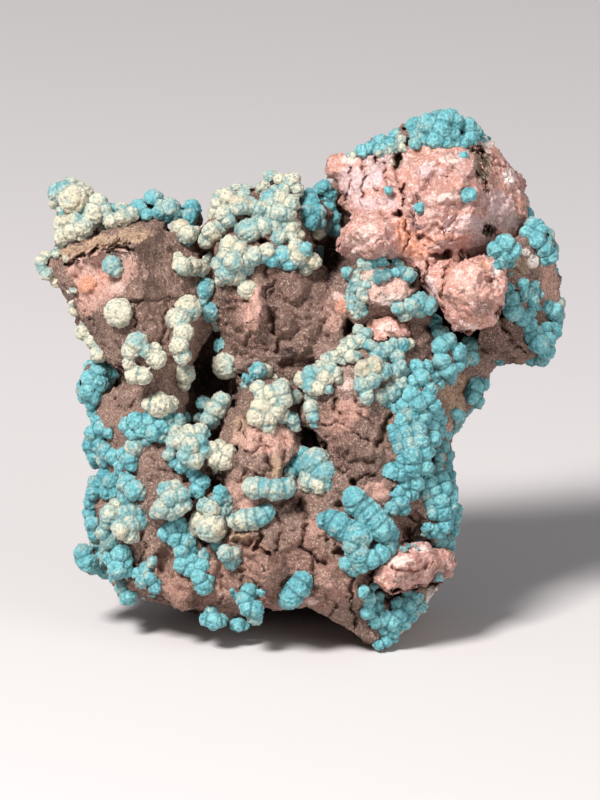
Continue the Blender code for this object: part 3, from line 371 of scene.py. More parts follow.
        (282, 566, 142), (338, 508, 156), (406, 536, 140),
    ],
    "back_pink_block": [
        (356, 296, 118), (412, 286, 118), (428, 338, 122), (376, 352, 128), (366, 306, 146),
        (404, 300, 142), (412, 334, 146), (380, 340, 154), (392, 316, 160),
    ],
    "back_ledge": [
        (228, 380, 130), (296, 366, 140), (314, 402, 150), (240, 412, 146), (276, 432, 138),
        (270, 388, 160), (300, 398, 160),
    ],
    "back_step": [
        (150, 420, 110), (204, 404, 126), (236, 440, 138), (180, 470, 134), (196, 424, 150),
        (214, 446, 150),
    ],
    "back_horn": [
        (440, 236, 118), (478, 222, 118), (492, 262, 122), (452, 276, 126), (470, 240, 152),
        (474, 258, 148),
    ],
    "heel_left": [
        (196, 584, 52), (254, 584, 52), (204, 634, 62), (248, 634, 66), (192, 622, 140),
        (262, 622, 146), (184, 576, 134), (268, 570, 146), (190, 600, 100),
    ],
    "heel_middle": [
        (250, 590, 110), (350, 590, 110), (250, 620, 116), (350, 620, 116), (248, 618, 150),
        (352, 618, 150), (240, 560, 146), (360, 556, 146), (300, 622, 152),
    ],
    "heel_right": [
        (346, 590, 45), (410, 585, 45), (352, 634, 56), (400, 634, 56), (346, 622, 146),
        (404, 622, 138), (340, 570, 146), (420, 576, 126), (412, 604, 96),
    ],
}

# Rounded knobs of the matrix: (across, down, depth, half width, half height, half depth).
KNOBS = [
    (72, 202, 30, 17, 16, 16), (94, 214, 24, 13, 13, 15), (76, 230, 20, 20, 12, 20),
    (120, 218, 22, 20, 10, 20), (152, 210, 30, 14, 11, 18), (172, 214, 32, 12, 9, 16),
    (190, 216, 34, 9, 11, 14), (186, 236, 8, 10, 12, 18), (48, 268, 26, 9, 14, 14),
    (192, 268, -6, 14, 12, 14), (212, 232, 6, 10, 14, 16), (246, 212, -6, 24, 20, 24),
    (284, 208, -6, 22, 22, 24), (274, 184, 12, 14, 9, 14), (292, 188, 10, 10, 9, 14),
    (312, 218, 14, 11, 18, 16), (330, 208, 40, 10, 26, 18), (232, 262, -34, 18, 18, 16),
    (262, 254, -36, 14, 12, 14), (300, 254, -32, 18, 14, 14), (282, 300, -40, 20, 22, 14),
    (300, 322, -44, 18, 20, 14), (252, 318, -42, 12, 22, 14), (318, 304, -38, 14, 16, 12),
    (302, 352, -38, 16, 14, 14), (256, 362, -24, 16, 16, 16), (226, 352, 6, 14, 18, 22),
    (438, 128, 4, 30, 13, 26), (386, 146, 14, 18, 9, 18), (404, 139, -2, 9, 11, 14),
    (503, 250, -38, 15, 12, 14), (534, 236, 8, 13, 16, 18), (548, 254, 14, 8, 10, 16),
    (538, 342, 2, 13, 18, 22), (552, 318, 16, 8, 16, 16), (512, 304, -36, 12, 16, 14),
    (404, 308, -58, 14, 9, 14), (424, 308, -50, 14, 12, 16), (446, 356, -24, 14, 24, 20),
    (470, 352, 8, 14, 14, 20), (476, 392, 22, 12, 15, 16), (456, 414, 26, 6, 8, 12),
    (420, 400, -52, 20, 30, 18), (416, 450, -54, 20, 30, 20), (438, 500, -34, 16, 34, 20),
    (96, 386, 26, 14, 22, 18), (100, 438, 22, 14, 28, 18), (100, 512, 22, 10, 38, 18),
    (88, 560, 26, 11, 14, 14), (122, 526, -20, 20, 22, 18), (118, 562, -6, 13, 18, 18),
    (126, 592, 10, 9, 13, 14), (148, 578, -14, 14, 16, 18), (132, 452, -14, 12, 14, 14),
    (150, 428, -34, 24, 12, 14), (160, 406, -42, 14, 10, 12), (192, 450, -52, 18, 20, 14),
    (212, 412, -18, 13, 14, 18), (222, 454, -46, 14, 12, 14), (200, 486, -40, 9, 14, 14),
    (174, 500, -54, 17, 16, 12), (180, 532, -32, 16, 14, 16), (188, 560, -34, 10, 16, 14),
    (214, 512, -50, 16, 22, 18), (228, 552, -54, 12, 10, 14), (204, 576, -42, 8, 20, 14),
    (214, 618, -24, 12, 10, 14), (252, 604, -48, 11, 18, 14), (240, 624, -12, 8, 7, 12),
    (268, 488, -80, 20, 10, 12), (252, 518, -72, 20, 10, 12), (316, 472, -46, 16, 20, 18),
    (298, 462, -20, 12, 16, 20), (272, 400, -48, 20, 20, 16), (292, 400, -28, 9, 14, 16),
    (184, 376, -24, 9, 14, 16), (182, 338, -54, 12, 22, 14), (144, 360, -66, 18, 18, 14),
    (312, 410, -52, 8, 16, 14), (370, 520, -74, 18, 18, 14), (340, 526, -72, 14, 10, 12),
    (360, 552, -78, 18, 16, 12), (298, 590, -60, 12, 14, 14), (392, 612, -28, 22, 20, 12),
    (366, 390, -80, 9, 12, 10), (384, 484, -74, 14, 12, 12), (230, 290, 126, 20, 22, 16),
    (300, 250, 118, 26, 18, 18), (140, 330, 108, 24, 16, 16), (360, 420, 142, 26, 20, 16),
    (440, 410, 114, 18, 26, 18), (280, 480, 142, 24, 30, 16), (180, 540, 126, 24, 20, 16),
    (400, 490, 136, 20, 24, 16), (320, 560, 146, 24, 16, 12), (140, 470, 104, 18, 26, 16),
    (350, 250, 128, 20, 16, 14), (500, 310, 110, 18, 16, 16), (480, 190, 108, 18, 16, 16),
    (250, 340, 140, 16, 12, 12), (330, 300, 132, 14, 20, 14),
]

# Botryoidal lumps by crust: (across, down, radius), or with a fourth value, the centre's depth.
CRUSTS = {
    "left_crest": [
        (54, 190, 9), (58, 183, 6), (70, 185, 8), (64, 190, 8), (88, 187, 8), (80, 184, 7),
        (73, 200, 13), (98, 203, 9), (93, 214, 10), (104, 212, 8), (53, 203, 5), (57, 212, 4),
        (62, 223, 8), (75, 221, 8), (62, 237, 8), (72, 232, 8), (83, 228, 9), (90, 221, 8),
        (82, 237, 5), (102, 226, 6), (112, 222, 8), (122, 218, 8), (131, 214, 7), (122, 205, 7),
        (140, 209, 6), (146, 215, 6), (153, 199, 9), (161, 205, 6), (170, 208, 9), (158, 213, 6),
        (167, 216, 6), (176, 214, 6), (192, 208, 8), (189, 217, 8), (181, 229, 9), (188, 235, 8),
        (195, 232, 5), (41, 262, 6), (45, 256, 5), (47, 274, 6), (54, 282, 6), (42, 268, 5),
    ],
    "left_face": [
        (178, 259, 6), (182, 267, 9), (192, 267, 8), (201, 268, 8), (113, 266, 9), (118, 272, 6),
        (120, 313, 13), (188, 309, 12), (178, 320, 11), (184, 333, 9), (180, 346, 9), (183, 356, 8),
        (75, 309, 6, 14), (72, 304, 4, 14), (84, 332, 8, 16), (92, 342, 6, 10), (84, 321, 4, 14),
        (99, 354, 8, 2), (138, 343, 10), (132, 351, 8), (146, 350, 7), (157, 359, 9), (155, 351, 7),
        (130, 363, 6), (136, 375, 9), (144, 376, 8), (205, 290, 8), (208, 284, 6), (203, 301, 5),
        (210, 312, 9), (218, 321, 9), (186, 375, 8), (180, 367, 5), (185, 385, 6),
    ],
    "middle_crest": [
        (215, 190, 8), (212, 202, 6), (220, 203, 8), (228, 198, 8), (230, 190, 6), (237, 186, 7),
        (247, 185, 7), (256, 185, 7), (263, 188, 7), (244, 195, 6), (271, 176, 8), (280, 180, 6),
        (291, 182, 9), (296, 190, 7), (283, 190, 6), (275, 192, 6), (217, 214, 9), (225, 214, 8),
        (229, 221, 7), (221, 226, 8), (213, 232, 9), (207, 240, 8), (240, 206, 9), (250, 206, 8),
        (258, 210, 8), (270, 200, 9), (281, 199, 8), (291, 204, 8), (270, 213, 7), (280, 214, 9),
        (289, 214, 7), (249, 231, 11), (262, 228, 9), (240, 229, 5), (275, 226, 7), (283, 222, 6),
        (291, 228, 9), (279, 239, 7), (291, 239, 7), (298, 236, 6), (310, 203, 9), (306, 213, 7),
        (318, 212, 7), (311, 221, 8), (320, 223, 6), (318, 233, 6), (230, 246, 9), (240, 250, 8),
        (225, 257, 7), (218, 264, 6), (233, 262, 9), (243, 262, 8), (253, 257, 9), (226, 273, 9),
        (236, 275, 9), (246, 268, 7), (222, 280, 6), (232, 282, 5), (267, 253, 8), (272, 260, 7),
        (262, 258, 6), (284, 255, 8), (290, 264, 7), (280, 263, 5), (296, 247, 7), (305, 250, 7),
        (316, 252, 7), (312, 262, 8), (306, 268, 7), (299, 258, 7), (248, 290, 9), (286, 282, 3),
        (289, 290, 3),
    ],
    "gap_behind_crest": [
        (325, 187, 7, 24), (331, 195, 6, 26), (310, 195, 7, 24), (330, 206, 7, 30),
        (334, 217, 7, 30), (328, 226, 7, 30), (336, 230, 6, 30), (322, 198, 6, 34),
    ],
    "summit": [
        (412, 127, 6), (418, 136, 7), (428, 125, 10), (436, 120, 7), (445, 120, 8), (456, 122, 7),
        (424, 139, 8), (436, 141, 8), (442, 130, 9), (450, 135, 9), (457, 142, 7), (468, 126, 8),
        (470, 138, 8), (474, 131, 5), (464, 144, 5), (430, 133, 8), (415, 144, 6), (446, 143, 7),
        (396, 136, 7), (391, 146, 7), (380, 142, 7), (371, 148, 6), (362, 151, 6), (384, 150, 5),
        (376, 150, 5),
    ],
    "summit_spots": [
        (388, 191, 4), (419, 209, 5), (421, 227, 3), (468, 196, 7), (463, 157, 4), (403, 223, 2),
        (404, 230, 2), (404, 236, 2),
    ],
    "right_crust": [
        (504, 244, 9), (495, 251, 8), (512, 251, 8), (503, 257, 7), (532, 225, 7), (527, 234, 7),
        (537, 240, 8), (545, 249, 8), (550, 257, 7), (540, 222, 5), (541, 231, 6), (546, 260, 5),
        (505, 292, 8), (511, 300, 8), (503, 303, 6), (512, 311, 9), (521, 318, 8), (528, 326, 8),
        (523, 284, 5), (528, 292, 5), (532, 300, 6), (536, 307, 5), (529, 312, 6), (531, 336, 8),
        (539, 344, 9), (546, 351, 8), (541, 358, 8), (547, 340, 7), (532, 357, 8), (536, 332, 6),
        (553, 311, 8), (547, 308, 7), (558, 317, 5), (553, 331, 8), (546, 327, 5), (504, 266, 4),
        (509, 274, 3),
    ],
    "encrusted_block": [
        (348, 273, 6), (362, 264, 5), (372, 263, 6), (380, 262, 5), (386, 266, 4), (395, 274, 5),
        (401, 273, 6), (408, 276, 7), (396, 264, 4), (353, 282, 4), (356, 290, 4), (360, 297, 4),
        (353, 300, 4), (352, 308, 4), (360, 306, 4), (363, 313, 4), (368, 286, 3), (372, 278, 3),
        (398, 308, 6), (404, 314, 7), (410, 306, 7), (419, 303, 9), (428, 306, 8), (418, 312, 6),
    ],
    "notch": [
        (434, 322, 7, -30), (439, 333, 8, -34), (440, 346, 8), (448, 341, 7), (457, 352, 8),
        (441, 361, 8), (448, 371, 8), (450, 379, 6), (462, 353, 4), (470, 345, 8), (463, 360, 7),
        (472, 358, 7), (458, 366, 6), (480, 353, 6, 6), (490, 359, 6, 12), (499, 360, 5, 14),
        (484, 370, 5, 14), (475, 387, 9), (481, 385, 7), (472, 396, 8), (478, 402, 6),
        (468, 396, 5), (455, 414, 6),
    ],
    "bridge": [
        (303, 380, 8), (312, 375, 9), (320, 369, 7), (311, 386, 8), (319, 388, 7), (326, 378, 8),
        (330, 370, 6), (328, 389, 5), (336, 373, 5), (312, 397, 6), (311, 407, 7), (313, 416, 6),
        (315, 423, 5), (327, 359, 6), (335, 357, 6), (343, 352, 7), (350, 357, 6), (352, 346, 7),
        (345, 345, 5), (360, 341, 7), (366, 334, 6), (358, 330, 5), (370, 346, 6), (378, 355, 8),
        (386, 350, 8), (393, 345, 6), (401, 345, 7), (409, 344, 5), (364, 370, 9), (374, 366, 9),
        (372, 380, 8), (382, 371, 8), (360, 379, 6), (396, 357, 7), (400, 366, 6), (393, 371, 6),
        (405, 373, 4), (361, 386, 7), (366, 397, 7), (391, 391, 10), (380, 396, 7), (387, 403, 6),
        (399, 383, 8), (408, 389, 6),
    ],
    "right_flank": [
        (415, 368, 8), (421, 378, 8), (413, 382, 7), (427, 367, 6), (433, 377, 7), (438, 384, 6),
        (430, 389, 6), (411, 395, 8), (404, 405, 8), (417, 403, 8), (427, 398, 7), (433, 405, 6),
        (396, 407, 6), (411, 415, 8), (402, 421, 8), (422, 417, 8), (436, 413, 7), (441, 420, 6),
        (430, 425, 8), (418, 430, 8), (405, 433, 8), (395, 437, 8), (391, 430, 5), (440, 431, 6),
        (408, 444, 8), (398, 447, 7), (420, 442, 8), (432, 439, 8), (443, 446, 6), (412, 455, 9),
        (425, 452, 8), (437, 456, 7), (402, 459, 6), (447, 456, 5), (398, 466, 6), (390, 472, 9),
        (401, 474, 7), (412, 468, 8), (424, 466, 8), (436, 469, 7), (446, 467, 6), (449, 476, 6),
        (440, 479, 8), (428, 481, 8), (415, 482, 8), (404, 484, 7), (397, 492, 7), (405, 494, 7),
        (412, 494, 6), (399, 502, 8), (392, 507, 7), (403, 508, 6), (424, 493, 7), (434, 491, 7),
        (445, 488, 7), (451, 496, 6), (440, 501, 8), (430, 503, 6), (450, 506, 7), (457, 509, 5),
        (442, 512, 8), (433, 513, 6), (452, 518, 7), (445, 526, 7), (436, 530, 7), (428, 526, 4),
        (453, 530, 6), (440, 541, 7), (448, 541, 6), (450, 552, 5), (452, 546, 5), (418, 539, 4),
        (428, 534, 4), (438, 577, 4),
    ],
    "worms": [
        (353, 497, 10), (357, 503, 11), (363, 508, 11), (369, 514, 12), (375, 520, 12),
        (381, 527, 12), (387, 533, 10), (325, 519, 8), (331, 520, 10), (338, 524, 11),
        (346, 530, 11), (357, 536, 13, -92), (353, 545, 10, -94), (358, 552, 10, -94),
        (346, 562, 7), (353, 568, 7), (360, 562, 9), (370, 558, 9), (380, 553, 9), (387, 546, 9),
        (302, 581, 10), (298, 587, 11), (292, 594, 11), (288, 600, 8),
    ],
    "tip": [
        (362, 590, 6), (368, 598, 7), (372, 585, 5), (375, 607, 8), (367, 611, 7), (378, 596, 6),
        (374, 620, 7), (384, 618, 8), (383, 628, 6), (393, 622, 8), (400, 614, 8), (407, 606, 8),
        (414, 599, 8), (420, 606, 6), (408, 593, 6), (398, 603, 6), (394, 631, 6), (404, 623, 6),
        (412, 614, 6), (378, 644, 5), (386, 641, 5), (395, 638, 4),
    ],
    "pyramid_top": [
        (258, 371, 8), (250, 377, 7), (246, 385, 5), (266, 371, 7), (273, 378, 6), (283, 385, 6),
        (259, 380, 7), (259, 389, 7), (263, 396, 8), (271, 394, 8), (280, 391, 9), (283, 400, 8),
        (275, 402, 7), (261, 410, 10), (257, 417, 9), (267, 418, 10), (275, 411, 9), (282, 415, 7),
        (268, 427, 7), (292, 420, 7), (295, 426, 5), (295, 397, 7),
    ],
    "pyramid_front": [
        (254, 487, 10), (265, 487, 9), (275, 489, 10), (285, 487, 9), (290, 491, 5), (237, 521, 8),
        (244, 519, 10), (252, 518, 10), (260, 516, 9), (267, 512, 8), (316, 462, 13),
        (324, 473, 12), (310, 481, 11), (319, 483, 10), (327, 484, 7), (302, 455, 8), (296, 466, 8),
        (290, 472, 7),
    ],
    "left_edge": [
        (98, 371, 8), (89, 379, 8), (106, 372, 7), (110, 378, 5), (98, 384, 9), (88, 391, 8),
        (95, 396, 7), (91, 404, 6), (93, 412, 6), (98, 420, 7), (102, 429, 8), (92, 433, 7),
        (109, 433, 5), (91, 445, 8), (99, 446, 7), (106, 452, 8), (94, 456, 7), (113, 456, 8),
        (103, 462, 6), (104, 476, 7), (95, 483, 7), (93, 493, 7), (91, 503, 7), (90, 513, 7),
        (92, 524, 7), (94, 535, 6), (96, 545, 5), (112, 482, 8), (108, 491, 8), (116, 492, 7),
        (83, 553, 8), (87, 562, 9), (80, 560, 5), (93, 568, 6), (100, 560, 7), (104, 571, 7),
        (112, 580, 6),
    ],
    "left_shoulder": [
        (160, 405, 11), (151, 405, 7), (170, 404, 8), (128, 425, 8), (137, 421, 8), (133, 432, 7),
        (149, 420, 8), (153, 432, 9), (161, 426, 9), (144, 430, 7), (148, 440, 5), (161, 437, 5),
        (168, 422, 6), (178, 421, 7), (185, 418, 6), (176, 432, 8), (174, 444, 7), (170, 455, 6),
        (174, 462, 5), (183, 466, 7), (190, 470, 6), (190, 433, 8), (199, 432, 8), (183, 441, 8),
        (191, 446, 9), (200, 442, 8), (204, 451, 7), (186, 456, 8), (195, 459, 9), (205, 434, 5),
        (212, 450, 8), (220, 447, 7), (229, 452, 7), (216, 458, 8), (225, 461, 8), (228, 467, 5),
        (210, 467, 8), (213, 472, 6), (197, 478, 7), (203, 482, 7), (198, 490, 7), (135, 447, 9),
        (130, 458, 8), (124, 453, 6), (132, 465, 6), (140, 443, 5),
    ],
    "cavity": [
        (221, 402, 9, -30), (216, 410, 10, -32), (211, 419, 9, -32), (204, 403, 7, -20),
        (198, 418, 5, -12), (226, 366, 12, -10), (222, 347, 8, 0), (234, 348, 8, 0),
    ],
    "left_foot": [
        (128, 484, 9), (135, 490, 9), (127, 496, 8), (141, 493, 6), (116, 507, 8), (110, 515, 9),
        (108, 522, 7), (134, 511, 9), (126, 514, 8), (142, 509, 7), (130, 524, 10), (140, 520, 9),
        (122, 529, 9), (131, 535, 8), (104, 532, 7), (110, 539, 8), (105, 547, 7), (112, 548, 6),
        (121, 553, 9), (112, 558, 8), (126, 561, 7), (118, 569, 9), (127, 571, 6), (124, 588, 8),
        (128, 597, 8), (139, 573, 6), (147, 569, 7), (152, 561, 5), (142, 581, 6), (151, 578, 6),
        (156, 587, 6), (160, 583, 4), (146, 595, 5), (152, 592, 5),
    ],
    "foot_front": [
        (167, 490, 8), (175, 488, 8), (181, 496, 9), (171, 498, 9), (185, 503, 7), (163, 508, 9),
        (171, 511, 8), (179, 507, 8), (157, 512, 6), (172, 528, 8), (181, 524, 7), (166, 533, 7),
        (175, 538, 7), (187, 541, 8), (183, 550, 8), (191, 548, 6), (182, 564, 7), (190, 568, 7),
        (192, 559, 6), (221, 493, 7), (226, 500, 6), (217, 500, 6), (229, 509, 6), (205, 505, 7),
        (212, 508, 8), (222, 512, 8), (228, 519, 6), (199, 520, 8), (196, 528, 7), (212, 527, 13),
        (218, 535, 8), (218, 545, 6), (226, 552, 8), (235, 551, 7), (232, 560, 8), (238, 559, 5),
        (204, 556, 6), (202, 566, 7), (199, 576, 7), (204, 586, 8), (209, 579, 5), (207, 618, 7),
        (214, 620, 8), (221, 620, 6), (212, 612, 6), (250, 590, 8), (246, 598, 8), (248, 607, 8),
        (255, 608, 8), (255, 616, 7), (262, 591, 4), (238, 624, 7), (244, 625, 5),
    ],
}

# Growth that carries over the top and round the back: a centre, a reach, a count and radii.
WRAPS = [
    ((72, 205, 40), 32, 26, 6, 10), ((120, 222, 45), 36, 26, 6, 9), ((170, 220, 45), 36, 26, 5, 9),
    ((235, 200, 40), 40, 34, 6, 10), ((285, 200, 40), 42, 38, 6, 10),
    ((436, 130, 40), 46, 40, 6, 10), ((378, 150, 40), 26, 16, 5, 8), ((540, 240, 40), 36, 24, 6, 9),
    ((550, 320, 45), 42, 30, 6, 9), ((480, 375, 50), 40, 20, 6, 9), ((440, 470, 45), 70, 56, 6, 9),
    ((96, 400, 50), 46, 34, 6, 9), ((92, 500, 50), 60, 46, 6, 9), ((120, 585, 45), 30, 18, 6, 8),
    ((230, 610, 40), 26, 10, 6, 8), ((150, 250, 100), 30, 18, 6, 9),
    ((235, 240, 110), 34, 22, 7, 10), ((320, 230, 110), 26, 12, 6, 9),
    ((500, 200, 90), 30, 16, 6, 9), ((440, 380, 120), 34, 20, 6, 10),
    ((440, 540, 95), 40, 24, 6, 9), ((110, 480, 95), 40, 24, 6, 9),
    ((190, 380, 120), 26, 12, 7, 10), ((330, 440, 150), 28, 14, 7, 11),
    ((230, 520, 140), 24, 10, 7, 11), ((160, 330, 115), 22, 8, 7, 10),
    ((380, 560, 135), 24, 10, 7, 10),
]

# Cracks and grooves of the display face: a half width, a depth and the places it runs through.
# A negative depth is a ridge.
GROOVES = [
    (5, -9, [(437, 588), (431, 604), (419, 621), (404, 635), (388, 647)]),
    (15, -12, [(266, 541), (264, 560), (268, 580)]), (5, 6, [(250, 556), (254, 574), (262, 592)]),
    (13, -9, [(158, 586), (172, 601), (185, 612)]), (10, -7, [(224, 550), (238, 537), (251, 533)]),
    (5, 5, [(150, 572), (156, 590), (170, 606)]),
    (9, -6, [(424, 226), (440, 208), (456, 190), (472, 168)]),
    (6, -4, [(452, 246), (468, 226), (480, 202)]), (7, 6, [(414, 206), (428, 186), (440, 166)]),
    (5, 5, [(440, 236), (458, 212), (472, 192)]), (1.6, 6, [(420, 196), (432, 182), (446, 176)]),
    (6, -4, [(346, 242), (362, 228), (384, 222)]), (5, 4, [(352, 250), (372, 240), (394, 238)]),
    (6, -4, [(462, 290), (474, 276), (490, 268)]), (5, 4, [(468, 304), (482, 292), (494, 282)]),
    (4, 4, [(496, 214), (508, 196), (516, 184)]), (10, -6, [(131, 250), (133, 275), (139, 300)]),
    (4, -4, [(60, 260), (90, 249), (122, 241), (150, 229)]),
    (8, -4, [(139, 304), (142, 330), (158, 356)]), (6, -4, [(268, 545), (267, 560), (266, 577)]),
    (7, -4, [(270, 430), (277, 452), (280, 478)]), (6, -5, [(426, 206), (446, 195), (468, 172)]),
    (5, -4, [(430, 176), (448, 166), (466, 158)]), (6, -4, [(478, 160), (490, 188), (492, 214)]),
    (6, -4, [(340, 440), (352, 452), (368, 456)]), (6, -4, [(330, 472), (346, 492), (366, 490)]),
    (5, -4, [(456, 286), (472, 296), (488, 292)]), (5, -3, [(372, 296), (386, 288), (402, 300)]),
    (2.2, 13, [(66, 265), (76, 260), (88, 254), (104, 250), (120, 249), (134, 249)]),
    (1.8, 8, [(98, 248), (116, 245), (128, 243)]), (1.8, 4, [(60, 257), (90, 246), (122, 236)]),
    (2.2, 6, [(112, 300), (140, 302), (165, 299), (188, 298)]), (2.2, 6, [(137, 302), (136, 332)]),
    (2.9, 6, [(168, 300), (166, 325), (162, 345)]), (2.2, 5, [(74, 290), (86, 310), (99, 331)]),
    (2.9, 9, [(266, 268), (267, 285), (268, 305), (272, 322), (277, 340), (279, 352)]),
    (3.3, 4.4, [(250, 300), (252, 325), (246, 345)]),
    (3.3, 3.9, [(276, 300), (290, 304), (306, 300)]),
    (3.3, 3.9, [(311, 284), (313, 304), (306, 325), (292, 336)]),
    (2.2, 5, [(222, 300), (236, 304), (250, 300)]),
    (3.3, 4.4, [(280, 341), (293, 338), (311, 342), (326, 338)]),
    (3.3, 3.9, [(322, 290), (326, 310), (322, 335)]),
    (3.3, 3.3, [(226, 325), (238, 330), (250, 328)]),
    (3.3, 3.3, [(246, 345), (258, 352), (274, 352)]),
    (1.8, 13, [(405, 184), (402, 196), (403, 207), (399, 215)]), (2.2, 8, [(480, 180), (486, 191)]),
    (1.8, 8, [(352, 165), (350, 180), (346, 202)]), (1.8, 8, [(363, 160), (364, 178), (361, 198)]),
    (1.8, 7, [(384, 164), (386, 180), (392, 194)]), (1.8, 7, [(404, 218), (408, 236), (404, 256)]),
    (1.8, 6, [(412, 214), (416, 232)]), (1.8, 9, [(447, 268), (443, 280), (441, 300)]),
    (1.8, 9, [(428, 262), (424, 276), (427, 292)]), (2.2, 7, [(510, 262), (520, 279), (514, 292)]),
    (2.2, 6, [(484, 150), (494, 164), (504, 168)]), (2.2, 10, [(334, 398), (336, 412), (346, 421)]),
    (2.2, 7, [(320, 426), (335, 422), (352, 429), (368, 441)]),
    (4.3, 13, [(389, 416), (383, 431), (376, 446)]), (2.2, 7, [(330, 450), (350, 462), (371, 460)]),
    (2.2, 7, [(338, 470), (352, 479), (374, 474)]), (2.2, 6, [(356, 402), (360, 416), (374, 424)]),
    (2.9, 7, [(262, 438), (268, 455), (270, 471)]), (2.2, 6, [(238, 482), (250, 471), (268, 478)]),
    (2.2, 6, [(282, 436), (288, 448), (284, 460)]), (2.2, 6, [(236, 446), (252, 452), (262, 448)]),
    (2.9, 9, [(300, 500), (308, 520), (300, 545), (318, 560)]),
    (2.2, 7, [(276, 510), (284, 530), (276, 548)]), (2.9, 10, [(262, 534), (257, 547), (267, 552)]),
    (2.2, 8, [(328, 540), (345, 549), (352, 576)]), (2.2, 8, [(352, 578), (350, 600), (356, 623)]),
    (2.2, 6, [(315, 560), (312, 575), (317, 591)]), (2.2, 6, [(326, 596), (336, 604), (330, 616)]),
    (2.9, 15, [(384, 599), (405, 591), (425, 583), (440, 581)]),
    (2.2, 6, [(392, 566), (410, 572), (430, 562)]), (2.2, 7, [(404, 512), (418, 524), (408, 540)]),
    (2.2, 6, [(140, 530), (146, 546), (141, 561)]), (2.2, 6, [(114, 398), (125, 412), (136, 400)]),
    (2.2, 5, [(146, 452), (158, 466), (176, 474)]), (2.2, 5, [(220, 576), (226, 590), (218, 604)]),
    (2.2, 6, [(232, 566), (246, 572), (240, 586)]), (2.2, 8, [(500, 322), (510, 340), (524, 352)]),
]

# Hollows of the display face: a place, its half width and half height, and its depth.
# A negative depth is a swelling.
HOLLOWS = [
    (240, 537, 14, 6, -5), (244, 560, 6, 14, 5), (180, 594, 18, 18, -8), (212, 566, 10, 10, -6),
    (308, 602, 16, 10, -5), (326, 578, 14, 16, -5), (100, 272, 32, 21, 9), (88, 285, 10, 10, -6),
    (263, 243, 6, 5, 26), (206, 256, 8, 8, 14), (330, 254, 9, 22, 10), (398, 214, 5, 4, 13),
    (397, 160, 4, 12, 22), (377, 161, 3, 6, 14), (374, 192, 4, 2, 8), (482, 166, 9, 17, 12),
    (478, 150, 10, 6, 16), (444, 199, 22, 5, -6), (446, 225, 18, 11, 3), (448, 256, 22, 5, 26),
    (488, 231, 7, 8, 18), (420, 238, 5, 5, 10), (387, 223, 3, 2, 5), (487, 282, 4, 5, 7),
    (417, 275, 4, 8, 12), (412, 283, 4, 5, 14), (352, 279, 4, 4, 8), (390, 273, 5, 4, 6),
    (440, 316, 7, 12, 20), (466, 338, 12, 7, 28), (353, 481, 5, 4, 18), (330, 440, 8, 6, 5),
    (374, 419, 8, 8, 4), (306, 436, 5, 16, 22), (320, 447, 10, 5, 20), (243, 427, 6, 13, 7),
    (286, 501, 22, 6, 9), (244, 541, 13, 7, 12), (340, 550, 8, 5, 14), (322, 560, 5, 4, 10),
    (415, 515, 8, 8, 8), (404, 531, 6, 6, 8), (398, 592, 9, 6, 24), (165, 560, 10, 15, 14),
    (209, 481, 7, 7, 18), (191, 512, 8, 8, 14), (121, 370, 6, 8, 10), (205, 540, 7, 9, 12),
    (340, 504, 7, 5, 9), (300, 506, 10, 6, 7), (292, 288, 17, 20, -12), (285, 322, 13, 14, -9),
    (298, 346, 14, 10, -9), (256, 304, 8, 40, -7), (318, 268, 13, 26, 9), (274, 304, 4, 36, 7),
    (300, 364, 26, 7, 14), (232, 298, 18, 12, -5), (236, 346, 14, 12, -4), (272, 198, 50, 18, 14),
    (238, 214, 26, 14, 8), (130, 210, 62, 13, 12), (80, 200, 26, 14, 10), (500, 312, 6, 8, 10),
    (376, 452, 9, 7, -5), (345, 445, 10, 7, -4), (262, 462, 7, 10, -5), (318, 530, 10, 9, -4),
    (288, 530, 7, 11, -4), (334, 586, 10, 9, -5), (150, 470, 16, 12, -4), (362, 470, 9, 6, -4),
]

# Colours laid on the rock's display face in places: mostly staining, but the darkest (70, 50, 44)
# is painted shadow, and the dark brown (112, 80, 68) is partly painted shade.
STAIN_AND_SHADOW_COLOURS = {
    "salmon": (204, 156, 140), "orange": (216, 146, 116), "pale": (232, 198, 186),
    "tan": (186, 152, 122), "rose": (222, 180, 166), "umber_and_painted_shade": (112, 80, 68), "olive": (104, 92, 66),
    "grey": (178, 146, 142), "white": (238, 222, 214), "lilac": (202, 170, 168),
    "brown": (140, 104, 92), "russet": (150, 108, 92), "painted_gap_shadow": (70, 50, 44),
    "frost": (150, 198, 196),
}
